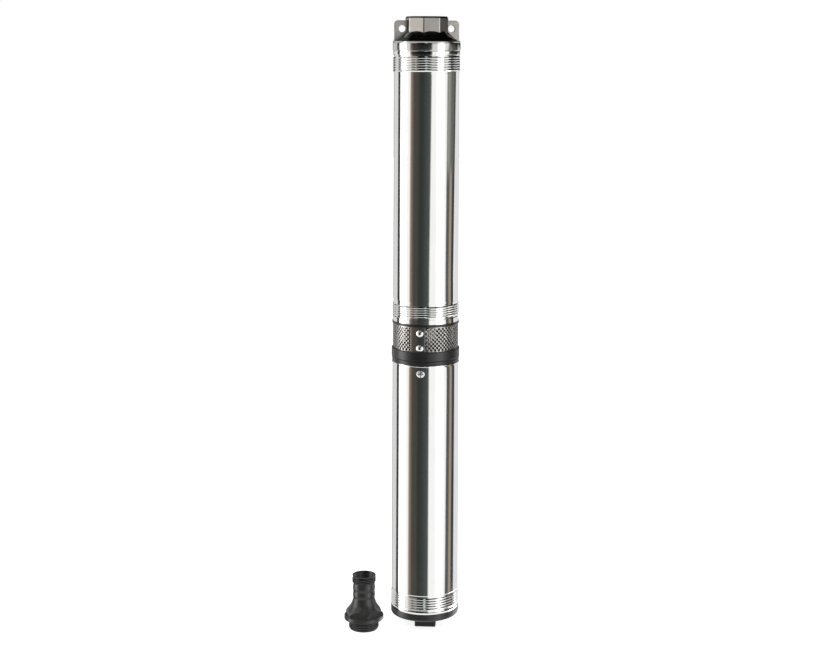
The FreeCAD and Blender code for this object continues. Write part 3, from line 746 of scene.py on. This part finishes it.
# Strainer
# A band of punched stainless sheet round the suction openings, lapped in front. Each hole has the
# small pressed rim that the punch leaves, and the lap is held by two pop rivets.
strainer_bottom = 392.6
strainer_top = 427.0
strainer_radius = 45.86
strainer_rim_rise = 0.3
strainer_wall = 0.6
strainer_columns = 54
strainer_rows = 11
hole_radius = 1.4
hole_rim = 0.24
hole_punched = 0.92
rim_stretch = 1.1
rim_squeeze = 0.9
rim_shoulder = 0.6
seam_from = -118.0
seam_to = -91.8
plain_edge = 1.3


def strainer_band():
    """The punched band, one cell round each hole, with every other row set over by half a cell."""
    shape = bmesh.new()
    around = 2 * pi * strainer_radius
    width = around / strainer_columns
    height = (strainer_top - strainer_bottom - 2 * plain_edge) / strainer_rows
    low = strainer_bottom + plain_edge
    known = {}
    cell_steps = 4096

    def at(across, up, rise=0.0):
        place = round((across % around) / width * cell_steps) % (cell_steps * strainer_columns)
        key = (place, round(up * cell_steps), round(rise * cell_steps))
        if key not in known:
            angle = across / strainer_radius
            out = strainer_radius + rise
            known[key] = shape.verts.new(Vector((out * cos(angle), out * sin(angle), up)) * MM)
        return known[key]

    def face(corners):
        if len(set(corners)) == len(corners):
            shape.faces.new(corners)

    outline = [(-2, -1), (-1, -1), (0, -1), (1, -1), (2, -1), (2, 0)]
    outline += [(-x, -y) for x, y in outline]
    outside = hole_radius + hole_rim
    inside = hole_radius * hole_punched
    for row in range(strainer_rows):
        middle = low + height * (row + 0.5)
        for column in range(strainer_columns):
            centre = width * (column + (0.5 if row % 2 else 0.0))
            azimuth = degrees(centre / strainer_radius) % 360
            corners = [at(centre + x * width / 4, middle + y * height / 2) for x, y in outline]
            if seam_from % 360 < azimuth < seam_to % 360:
                face(corners)
                continue
            angles = [atan2(y * height / 2, x * width / 4) for x, y in outline]
            rings = [corners]
            for wide, tall, rise in (
                (outside * rim_stretch, outside * rim_squeeze, strainer_rim_rise * rim_shoulder),
                (hole_radius, hole_radius, strainer_rim_rise),
                (inside, inside, -strainer_wall),
            ):
                ring = [at(centre + wide * cos(a), middle + tall * sin(a), rise) for a in angles]
                rings.append(ring)
            for index in range(len(outline)):
                after = (index + 1) % len(outline)
                for outer, inner in zip(rings, rings[1:]):
                    face((outer[index], outer[after], inner[after], inner[index]))
    for edge_low, edge_high in ((strainer_bottom, low), (low + height * strainer_rows, strainer_top)):
        for quarter in range(strainer_columns * 4):
            left = width * (quarter / 4 - 0.5)
            right = left + width / 4
            face((at(left, edge_low), at(right, edge_low), at(right, edge_high), at(left, edge_high)))
    return finished("strainer_band", shape, 50)


band = strainer_band()

# Stainless sheet, cold rolled and punched: a little softer than the tubes, with the odd smear, and coloured a
# darker grey than the steel's own as painted shade for the holes.
punched_stainless, tree, shader, place = start_material("punched_stainless_sheet")
smears = add(tree, "TexNoise", {"Scale": 1 / (5 * MM), "Detail": 3.0}, place)
# The base colour is darker than stainless: painted shade for the punched holes.
painted_shade_grey = {"Base Color": from_hex("#A19E9A"), "Metallic": 1.0}
skin(tree, shader, None, (smears, 0.2, 0.34), (smears, 0.15, 0.05), painted_shade_grey)
coat(band, punched_stainless)

lap_steps = 20
lap_outside = strainer_radius + 0.35
lap_inside = strainer_radius - 0.05
lap_shares = [index / lap_steps for index in range(lap_steps + 1)]
lap_angles = [radians(seam_from + (seam_to - seam_from) * share) for share in lap_shares]
lap_points = [(lap_outside * cos(angle), lap_outside * sin(angle)) for angle in lap_angles]
lap_points += [(lap_inside * cos(angle), lap_inside * sin(angle)) for angle in reversed(lap_angles)]
shape = bmesh.new()
prism(shape, lap_points, strainer_bottom + 0.2, strainer_top - 0.2)
lap = finished("strainer_lap", shape, 30)
bevelled(lap, 0.15, 2)
coat(lap, polished_stainless)

rivet_radius = 5.1
rivet_rise = 2.0
rivet_azimuth = -100.8
rivet_heights = (418.4, 397.9)
rivet_hollow_radius = 1.75
rivet_hollow_depth = 1.4
rivet_hollow_side = 0.4


def pop_rivet(distance, angle):
    """The height of the rivet's dome, with the hollow that its broken stem leaves."""
    share = distance / rivet_radius
    dome = rivet_rise * (1 - share**1.5) ** 0.95 if share < 1 else 0
    inwards = (rivet_hollow_radius - distance) / rivet_hollow_side
    return dome - rivet_hollow_depth * max(0.0, min(1.0, inwards))


# The broken end of the rivet's steel stem, dull, and coloured near black as painted shade at the bottom of
# its hollow.
stem_steel_painted_shade, tree, shader, place = start_material("broken_stem_painted_shade")
crumbs = add(tree, "TexNoise", {"Scale": 1 / (0.5 * MM), "Detail": 3.0}, place)
skin(tree, shader, (crumbs, "#1E1D1C", "#3A3836"), plain={"Roughness": 0.7})

seam_pieces = [band, lap]
for number, height in enumerate(rivet_heights):
    rivet = head_mesh(f"seam_rivet_{number + 1}", rivet_radius, pop_rivet)
    coat(rivet, tumbled_stainless, stem_steel_painted_shade)
    # Faces in the hollow take the stem's material with its painted shade.
    for polygon in rivet.data.polygons:
        away = hypot(polygon.center.x, polygon.center.y)
        in_hollow = away < rivet_hollow_radius * MM and polygon.center.z > 0
        polygon.material_index = 1 if in_hollow else 0
    set_on_shell(rivet, strainer_radius, rivet_azimuth, height)
    seam_pieces.append(rivet)
for piece in seam_pieces:
    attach(piece, "pump")
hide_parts("strainer")
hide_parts("strainer")

# Pump shell
# The tube that clamps the stages, in the same polished stainless as the motor's. A thread band is
# rolled into each end, a fine one below and a coarser one under the head, each with a turned lip.
shell_bottom = 430.3
shell_top = 810.6
shell_radius = 46.0
shell_bore = 44.8
shell_lower_lip = 46.5
shell_lower_root = 45.5
shell_lower_thread_bottom = 438.0
shell_lower_thread_pitch = 3.15
shell_lower_thread = (shell_lower_thread_bottom, 5, shell_lower_root, 46.9, shell_lower_thread_pitch)
shell_lower_thread_top = shell_lower_thread_bottom + 6 * shell_lower_thread_pitch
shell_upper_root = 46.2
shell_upper_thread_bottom = 780.2
shell_upper_thread_pitch = 3.46
shell_upper_thread = (shell_upper_thread_bottom, 6, shell_upper_root, 47.6, shell_upper_thread_pitch)
shell_upper_thread_top = shell_upper_thread_bottom + 7 * shell_upper_thread_pitch
shell_upper_lip = 47.3

shell_rows = softened_run(
    0.5,
    (shell_bore, shell_bottom + 8),
    (shell_bore, shell_bottom),
    (shell_lower_lip, shell_bottom),
    (shell_lower_lip, shell_lower_thread_bottom - 0.6),
    (shell_lower_root, shell_lower_thread_bottom - 0.1),
)
shell_rows += thread_rows(*shell_lower_thread)
shell_rows += softened_run(
    0.6,
    (shell_lower_root, shell_lower_thread_top + 0.3),
    (shell_lower_root - 0.1, shell_lower_thread_top + 3.2),
    (shell_radius, shell_lower_thread_top + 5.0),
    (shell_radius, shell_upper_thread_bottom - 2.4),
    (shell_upper_root, shell_upper_thread_bottom - 0.4),
)
shell_rows += thread_rows(*shell_upper_thread)
shell_rows += softened_run(
    0.45,
    (shell_upper_root, shell_upper_thread_top + 0.2),
    (shell_upper_lip, shell_upper_thread_top + 0.9),
    (shell_upper_lip, shell_top),
    (shell_bore, shell_top),
    (shell_bore, shell_top - 8),
)
pump_tube = lofted("pump_tube", shell_rows, 256)
coat(pump_tube, polished_stainless)
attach(pump_tube, "pump")
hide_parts("pump_shell")

# Discharge head
# An investment casting in stainless steel: the collar is turned bright, the cone is coloured darker as
# painted shade, and the eight-sided socket, with the outlet's pipe thread, and the two ears keep a fine
# blasted skin.
head_turn = radians(13.8)
head_spigot_bottom = 798.0
head_spigot_radius = 44.7
collar_bottom = 810.6
collar_top = 824.8
collar_radius = 48.0
cone_base = 44.4
cone_top = 27.0
cone_height = 14.8
block_flats = 57.0
block_top = 859.5
block_corner = 30.6
block_chamfer = 2.3
block_chamfer_inward = 1.7
socket_base = 834.5
outlet_crest = 19.475
outlet_root = 20.6
outlet_thread_bottom = 834.8
outlet_turns = 9
pipe_pitch = 2.309
valve_bore = 18.6

octagon = flats(block_flats, 8, head_turn)


def block(angle):
    """The socket's outside at an angle: eight flats with their corners turned down a little."""
    return min(octagon(angle), block_corner)


def where_cone_meets_block(angle):
    """The height at which the turned cone runs into the block's sides."""
    return collar_top + (cone_base - block(angle)) * cone_height / (cone_base - cone_top)


def cone_radius(height):
    """The cone's radius at a height."""
    return cone_base - (height - collar_top) * (cone_base - cone_top) / cone_height


head_rows = [(valve_bore, head_spigot_bottom), (head_spigot_radius, head_spigot_bottom)]
head_rows += [(head_spigot_radius, collar_bottom)]
head_rows += softened_run(
    0.2,
    (head_spigot_radius, collar_bottom + 0.01),
    (collar_radius - 1.2, collar_bottom),
    (collar_radius - 1.2, collar_bottom + 0.7),
    (collar_radius - 0.3, collar_bottom + 0.8),
    (collar_radius, collar_bottom + 1.6),
    (collar_radius, collar_top - 3.1),
    (collar_radius - 0.7, collar_top - 2.4),
    (collar_radius - 0.7, collar_top - 2.2),
    (collar_radius, collar_top - 1.0),
    (collar_radius - 0.6, collar_top - 0.2),
    (cone_base + 0.6, collar_top),
    (cone_radius(collar_top + 0.4), collar_top + 0.4),
    (cone_radius(socket_base - 4), socket_base - 4),
)
socket_foot = cone_radius(socket_base)
head_rows += [(socket_foot, socket_base), (valve_bore, socket_base)]
head_body = lofted("head_casting", head_rows, 256, start=head_turn)

socket_rows = [(outlet_crest, socket_base), (socket_foot, socket_base)]
for share in (0.3, 0.6, 0.92):
    socket_rows.append(
        (
            lambda angle, share=share: socket_foot + (block(angle) - socket_foot) * share,
            lambda angle, share=share: socket_base + (where_cone_meets_block(angle) - socket_base) * share,
        )
    )
socket_rows += [
    (lambda angle: block(angle) + 0.1, lambda angle: where_cone_meets_block(angle) + 0.05),
    (block, lambda angle: where_cone_meets_block(angle) + 0.4),
    (block, block_top - block_chamfer - 0.2),
    (lambda angle: block(angle) - 0.05, block_top - block_chamfer),
    (lambda angle: block(angle) - block_chamfer_inward, block_top - 0.1),
    (lambda angle: block(angle) - block_chamfer_inward - 0.3, block_top),
    (outlet_root + 1.4, block_top),
    (outlet_root + 1.1, block_top - 0.1),
    (outlet_root, block_top - 1.2),
]
outlet_thread = (outlet_thread_bottom, outlet_turns, outlet_root, outlet_crest, pipe_pitch)
socket_rows += reversed(thread_rows(*outlet_thread))
socket_body = lofted("outlet_socket_casting", socket_rows, 256, start=head_turn)

ear_reach = 47.0
ear_root = 25.0
ear_top = 853.8
ear_corner = 5.5
ear_half_thickness = 2.5
ear_edge = 0.55
ear_hole = (36.0, 842.0)
ear_hole_radius = 5.1
ear_foot = (47.8, 823.8)
ear_foot_rise = 7.0
ear_sunk = 3


def arc(centre, radius, steps, sweep):
    """The points of an arc that starts on the right and goes round to the left."""
    swings = [radians(sweep * step / steps) for step in range(steps + 1)]
    return [(centre[0] + radius * cos(swing), centre[1] + radius * sin(swing)) for swing in swings]


def ear_outline():
    """The ear's outer edge, from its foot on the collar round to its root in the block."""
    foot, level = ear_foot
    points = [(ear_root, level - ear_sunk), (foot, level - ear_sunk), (foot, level)]
    for step in range(1, 7):
        share = step / 6
        points.append((foot - (foot - ear_reach) * (1 - (1 - share) ** 2), level + ear_foot_rise * share))
    points += arc((ear_reach - ear_corner, ear_top - ear_corner), ear_corner, 8, 90)
    points.append((ear_root, ear_top))
    return points


def ear(name, turn):
    """A lifting ear: a plate cast in one with the block, with its hole drilled through."""
    curve = bpy.data.curves.new(name, "CURVE")
    curve.dimensions = "2D"
    curve.fill_mode = "BOTH"
    for outline in (ear_outline(), arc(ear_hole, ear_hole_radius, 48, 360)[:-1]):
        spline = curve.splines.new("POLY")
        spline.points.add(len(outline) - 1)
        for point, (across, up) in zip(spline.points, outline):
            point.co = (across * MM, up * MM, 0, 1)
        spline.use_cyclic_u = True
    curve.extrude = (ear_half_thickness - ear_edge) * MM
    curve.bevel_depth = ear_edge * MM
    curve.offset = -ear_edge * MM
    curve.bevel_resolution = 3
    drawn = placed(name + "_drawn", curve)
    bpy.context.view_layer.update()
    mesh = bpy.data.meshes.new_from_object(drawn.evaluated_get(bpy.context.evaluated_depsgraph_get()))
    bpy.data.objects.remove(drawn)
    mesh.transform(Matrix.Rotation(pi / 2, 4, "X"))
    mesh.transform(Matrix.Rotation(turn, 4, "Z"))
    smooth(mesh, 40)
    mesh.name = name
    return placed(name, mesh)


right_ear = ear("right_lifting_ear", head_turn)
left_ear = ear("left_lifting_ear", head_turn + pi)

# Stainless steel, turned: bright rings round the axis, finer than can show, drawn 0.9 mm apart.
turned_stainless, tree, shader, place = start_material("turned_stainless")
stretched = add(tree, "Mapping", {"Scale": (12, 12, 1 / (0.9 * MM))}, place)
rings = add(tree, "TexNoise", {"Scale": 1.0, "Detail": 2.0}, {"Vector": stretched.outputs[0]})
bright = {"Base Color": from_hex("#D6D5D2"), "Metallic": 1.0}
skin(tree, shader, None, (rings, 0.08, 0.18), (rings, 0.07, 0.03), bright)

# The same steel coloured darker and left smooth, as painted shade on the cone and on the block's top chamfer.
painted_shade_stainless, tree, shader, place = start_material("painted_shade_stainless")
haze = add(tree, "TexNoise", {"Scale": 1 / (7 * MM), "Detail": 3.0}, place)
skin(tree, shader, (haze, "#6A6866", "#7E7B77"), (haze, 0.14, 0.24), None, {"Metallic": 1.0})

# Stainless steel, cast and bead blasted: a satin grey, slightly warm, its grain coarse enough to show.
blasted_stainless, tree, shader, place = start_material("blasted_stainless_casting")
grit = add(tree, "TexNoise", {"Scale": 1 / (1.3 * MM), "Detail": 5.0, "Roughness": 0.7}, place)
blotch = add(tree, "TexNoise", {"Scale": 1 / (8 * MM), "Detail": 3.0}, place)
skin(tree, shader, (grit, "#ADA9A4", "#DAD6D0"), (blotch, 0.26, 0.44), (grit, 0.6, 0.16), {"Metallic": 1.0})


def height_in(polygon):
    """A face's height in mm."""
    return polygon.center.z / MM


def reach_in(polygon):
    """A face's distance from the axis in mm."""
    return hypot(polygon.center.x, polygon.center.y) / MM


coat(head_body, turned_stainless, painted_shade_stainless)
# Faces on the cone take the darker steel, its painted shade.
for polygon in head_body.data.polygons:
    on_cone = height_in(polygon) > collar_top - 0.1 and reach_in(polygon) > valve_bore + 1
    polygon.material_index = 1 if on_cone else 0
coat(socket_body, blasted_stainless, painted_shade_stainless, turned_stainless)
# The bore takes turned steel; the socket's foot on the cone and its top chamfer take the darker steel of
# painted shade.
for polygon in socket_body.data.polygons:
    angle = atan2(polygon.center.y, polygon.center.x)
    if reach_in(polygon) < outlet_root + 0.5:
        polygon.material_index = 2
    elif height_in(polygon) < where_cone_meets_block(angle) or height_in(polygon) > block_top - block_chamfer:
        polygon.material_index = 1
for piece in (right_ear, left_ear):
    coat(piece, blasted_stainless)
for piece, node in (
    (head_body, "discharge_head"),
    (socket_body, "outlet_socket"),
    (right_ear, "lifting_ears"),
    (left_ear, "lifting_ears"),
):
    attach(piece, "pump")
    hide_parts(node)

# Check valve
# A spring-loaded poppet of acetal that snaps into the outlet's bore and keeps the riser full.
# Moulded, dark grey, with a satin skin.
moulded_acetal, tree, shader, place = start_material("moulded_acetal")
cloud = add(tree, "TexNoise", {"Scale": 1 / (6 * MM), "Detail": 3.0}, place)
grain = add(tree, "TexNoise", {"Scale": 1 / (0.5 * MM), "Detail": 2.0}, place)
satin = {"Roughness": 0.38, "IOR": 1.48}
skin(tree, shader, (cloud, "#2B2B2C", "#363637"), None, (grain, 0.15, 0.04), satin)


def finish_node(name, material):
    """Gives a CAD node its material."""
    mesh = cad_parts[name].data
    mesh.materials.clear()
    mesh.materials.append(material)


finish_node("check_valve", moulded_acetal)

# Shafts, coupling, nut and seal
# Hexagonal drawn bar for the pump's shaft, ground round bar for the motor's, a milled sleeve between
# them and a turned seal seat. All stainless, with the fine lines of drawing and grinding.
drawn_stainless, tree, shader, place = start_material("drawn_stainless_bar")
stretched = add(tree, "Mapping", {"Scale": (1 / (0.5 * MM), 1 / (0.5 * MM), 30)}, place)
lines = add(tree, "TexNoise", {"Scale": 1.0, "Detail": 2.0}, {"Vector": stretched.outputs[0]})
bright = {"Base Color": from_hex("#CFCDC9"), "Metallic": 1.0}
skin(tree, shader, None, (lines, 0.18, 0.34), (lines, 0.15, 0.03), bright)
for name in ("pump_shaft", "shaft_coupling", "shaft_nut", "motor_shaft", "seal_gland"):
    finish_node(name, drawn_stainless)

# Impellers and diffusers
# Stacked stages of glass-filled polyphenylene ether: cream impellers that turn with the shaft and
# dark grey diffusers that stay in the shell. Moulded, with a smooth skin and faint flow marks.
for name, pale, deep in (("impellers", "#D9D3C4", "#C9C2B1"), ("diffusers", "#47484A", "#3B3C3E")):
    stage_plastic, tree, shader, place = start_material(f"moulded_polyphenylene_{name}")
    flow = add(tree, "TexNoise", {"Scale": 1 / (7 * MM), "Detail": 4.0, "Distortion": 1.5}, place)
    skin(tree, shader, (flow, pale, deep), None, (flow, 0.1, 0.05), {"Roughness": 0.42, "IOR": 1.57})
    finish_node(name, stage_plastic)

# Rotor and stator cores
# Stacks of punched electrical steel sheet, the rotor's with a cast aluminium cage. The sheets are
# half a millimetre thick, and their edges show as fine rings up the stack.
sheet_thickness = 0.5
for name, pale, deep in (("rotor_core", "#B4B5B6", "#8E8F91"), ("stator_core", "#55575A", "#3A3C3F")):
    laminated_steel, tree, shader, place = start_material(f"laminated_steel_{name}")
    sheets = {"wave_type": "BANDS", "bands_direction": "Z", "Distortion": 0.4}
    sheets["Scale"] = 1 / (20 * sheet_thickness * MM)
    bands = add(tree, "TexWave", sheets, place)
    skin(tree, shader, (bands, deep, pale), None, (bands, 0.3, 0.05), {"Metallic": 1.0, "Roughness": 0.4})
    finish_node(name, laminated_steel)

# Winding ends
# Enamelled copper wire about a millimetre thick, wound in bundles and varnished: a warm red-brown
# with a glossy coat, its turns drawn as fine ridges.
wire_thickness = 1.1
enamelled_copper, tree, shader, place = start_material("enamelled_copper_winding")
wires = {"wave_type": "BANDS", "bands_direction": "DIAGONAL", "Distortion": 1.2}
wires["Scale"] = 1 / (20 * wire_thickness * MM)
turns = add(tree, "TexWave", wires, place)
varnished = {"Metallic": 0.7, "Roughness": 0.35, "Coat Weight": 0.6}
skin(tree, shader, (turns, "#7A2F16", "#C8693A"), None, (turns, 0.6, 0.3), varnished)
finish_node("coil_ends", enamelled_copper)

# Bearings
# Carbon-filled bronze bushes round the motor's shaft and a hardened steel pad under its end.
# Machined: a brown-gold metal and a dark grey one, both with turning rings.
for name, pale, deep, gloss in (
    ("bearing_bushes", "#C19A5B", "#A07A43", 0.32),
    ("thrust_pad", "#8B8C8E", "#6C6D70", 0.24),
):
    bearing_metal, tree, shader, place = start_material(f"machined_{name}")
    stretched = add(tree, "Mapping", {"Scale": (60, 60, 1 / (0.6 * MM))}, place)
    rings = add(tree, "TexNoise", {"Scale": 1.0, "Detail": 2.0}, {"Vector": stretched.outputs[0]})
    skin(tree, shader, (rings, deep, pale), None, (rings, 0.2, 0.03), {"Metallic": 1.0, "Roughness": gloss})
    finish_node(name, bearing_metal)

# Cable gland
# The rubber grommet at the back where the supply cable enters the motor's end bell, in nitrile
# rubber: soft black with a dry, slightly dusty skin, its six-sided collar moulded on.
gland_height = 386.15
gland_flats = 9.6
gland_bore = 3.2
gland_inner = 37.0
gland_outer = 52.0

nitrile_rubber, tree, shader, place = start_material("moulded_nitrile_rubber")
dust = add(tree, "TexNoise", {"Scale": 1 / (2.2 * MM), "Detail": 5.0}, place)
skin(tree, shader, (dust, "#1A1A1B", "#2C2C2D"), None, (dust, 0.2, 0.08), {"Roughness": 0.62})

nut_face = flats(gland_flats, 6, 0.0)
gland = lofted(
    "cable_grommet",
    [
        (gland_bore, gland_inner),
        (nut_face, gland_inner),
        (nut_face, gland_outer - 1.5),
        (lambda angle: min(nut_face(angle), gland_flats / 2 + 0.15), gland_outer - 0.8),
        (lambda angle: min(nut_face(angle), gland_flats / 2) - 0.35, gland_outer - 0.1),
        (gland_flats / 2 - 0.8, gland_outer),
        (gland_bore + 0.4, gland_outer),
        (gland_bore, gland_outer - 0.5),
    ],
    96,
)
gland.data.transform(Matrix.Rotation(-pi / 2, 4, "X"))
gland.data.transform(Matrix.Translation((0, 0, gland_height * MM)))
coat(gland, nitrile_rubber)
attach(gland, "pump")
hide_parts("cable_gland")

# Hose adapter
# The loose adapter that screws into the outlet: a pipe thread below, a flange and a hexagon for the
# spanner, a ribbed neck and a smaller thread on top. Injection moulded in black polypropylene.
adapter_place = (-85.3, -17.0)
adapter_turn = radians(13)
adapter_bore = 13.5
adapter_root = 19.6
adapter_thread = (0.7, 4, adapter_root, 20.9, pipe_pitch)
flange_foot = 14.0
flange_face = 20.0
flange_reach = 27.5
adapter_hexagon = 46.0
flare_radius = 23.7
flare_height = 26.8
flare_slope = 1.26
adapter_neck = [(21.4, 29.7), (19.8, 31.8), (18.4, 33.8), (17.3, 35.9), (16.5, 38.0), (15.9, 40.2)]
adapter_neck += [(15.2, 42.4), (15.0, 43.4), (15.3, 44.8), (15.65, 46.6), (15.7, 48.2), (15.5, 49.8)]
adapter_neck += [(15.1, 51.6), (14.95, 52.6), (15.2, 53.8), (15.6, 55.6), (15.7, 57.3), (15.6, 59.0)]
adapter_neck += [(15.2, 61.4), (14.9, 62.9), (15.0, 63.6)]
adapter_tip_bottom = 63.9
adapter_tip = (adapter_tip_bottom, 3, 15.5, 16.6, pipe_pitch)
adapter_top = 75.0
adapter_mouth = 14.0

hexagon = flats(adapter_hexagon, 6, adapter_turn)


def where_neck_meets_hexagon(angle):
    """The height at which the neck's flare cuts the hexagon's sides."""
    return flare_height + (flare_radius - hexagon(angle)) * flare_slope


adapter_rows = [(adapter_bore, 0.0), (adapter_root - 0.6, 0.0), (adapter_root, 0.6)]
adapter_rows += thread_rows(*adapter_thread)
adapter_rows += [(adapter_root, flange_foot - 0.2)]
adapter_rows += softened_run(
    0.8,
    (adapter_root, flange_foot - 0.1),
    (adapter_root + 1, flange_foot),
    (flange_reach, flange_foot),
    (flange_reach, flange_face - 1.0),
    (flange_reach - 1.2, flange_face),
    (flange_reach - 3, flange_face),
)
adapter_rows += [
    (lambda angle: hexagon(angle) + 0.3, flange_face + 0.05),
    (hexagon, flange_face + 0.5),
    (hexagon, lambda angle: where_neck_meets_hexagon(angle) - 0.3),
    (lambda angle: hexagon(angle) - 0.2, lambda angle: where_neck_meets_hexagon(angle) + 0.25),
    (lambda angle: hexagon(angle) - 0.9, lambda angle: where_neck_meets_hexagon(angle) + 1.1),
]
adapter_rows += adapter_neck
adapter_rows += thread_rows(*adapter_tip)
adapter_rows += [
    (15.9, adapter_top - 0.9),
    (16.4, adapter_top - 0.5),
    (16.3, adapter_top - 0.1),
    (15.9, adapter_top),
    (adapter_mouth + 0.5, adapter_top),
    (adapter_mouth, adapter_top - 0.4),
    (adapter_bore, adapter_top - 2.2),
]
adapter = lofted("hose_adapter_moulding", adapter_rows, 192, adapter_place, adapter_turn)

# Polypropylene, moulded: black, satin, with soft wide highlights and faint flow marks.
moulded_polypropylene, tree, shader, place = start_material("moulded_polypropylene")
flow = add(tree, "TexNoise", {"Scale": 1 / (6 * MM), "Detail": 4.0, "Distortion": 0.8}, place)
grain = add(tree, "TexNoise", {"Scale": 1 / (0.9 * MM), "Detail": 2.0}, place)
skin(tree, shader, (flow, "#272727", "#343433"), (flow, 0.24, 0.36), (grain, 0.12, 0.05), {"IOR": 1.49})

# The same plastic on its sharp-edged threads and in the bore, coloured near black as painted shade and with a
# weaker highlight.
polypropylene_painted_shade, tree, shader, place = start_material("moulded_polypropylene_painted_shade")
flow = add(tree, "TexNoise", {"Scale": 1 / (3 * MM), "Detail": 3.0}, place)
dull = {"Roughness": 0.38, "Specular IOR Level": 0.3}
skin(tree, shader, (flow, "#0B0B0B", "#151515"), plain=dull)
coat(adapter, moulded_polypropylene, polypropylene_painted_shade)
# The threads and the bore take the plastic with the painted shade.
for polygon in adapter.data.polygons:
    away = hypot(polygon.center.x / MM - adapter_place[0], polygon.center.y / MM - adapter_place[1])
    height = height_in(polygon)
    in_tip = adapter_tip_bottom - 0.3 < height < adapter_top - 0.9
    in_painted_shade = height < flange_foot - 0.1 or away < adapter_bore + 0.4 or in_tip
    polygon.material_index = 1 if in_painted_shade else 0
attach(adapter, "hose_adapter")
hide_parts("hose_adapter")
adapter.visible_glossy = False
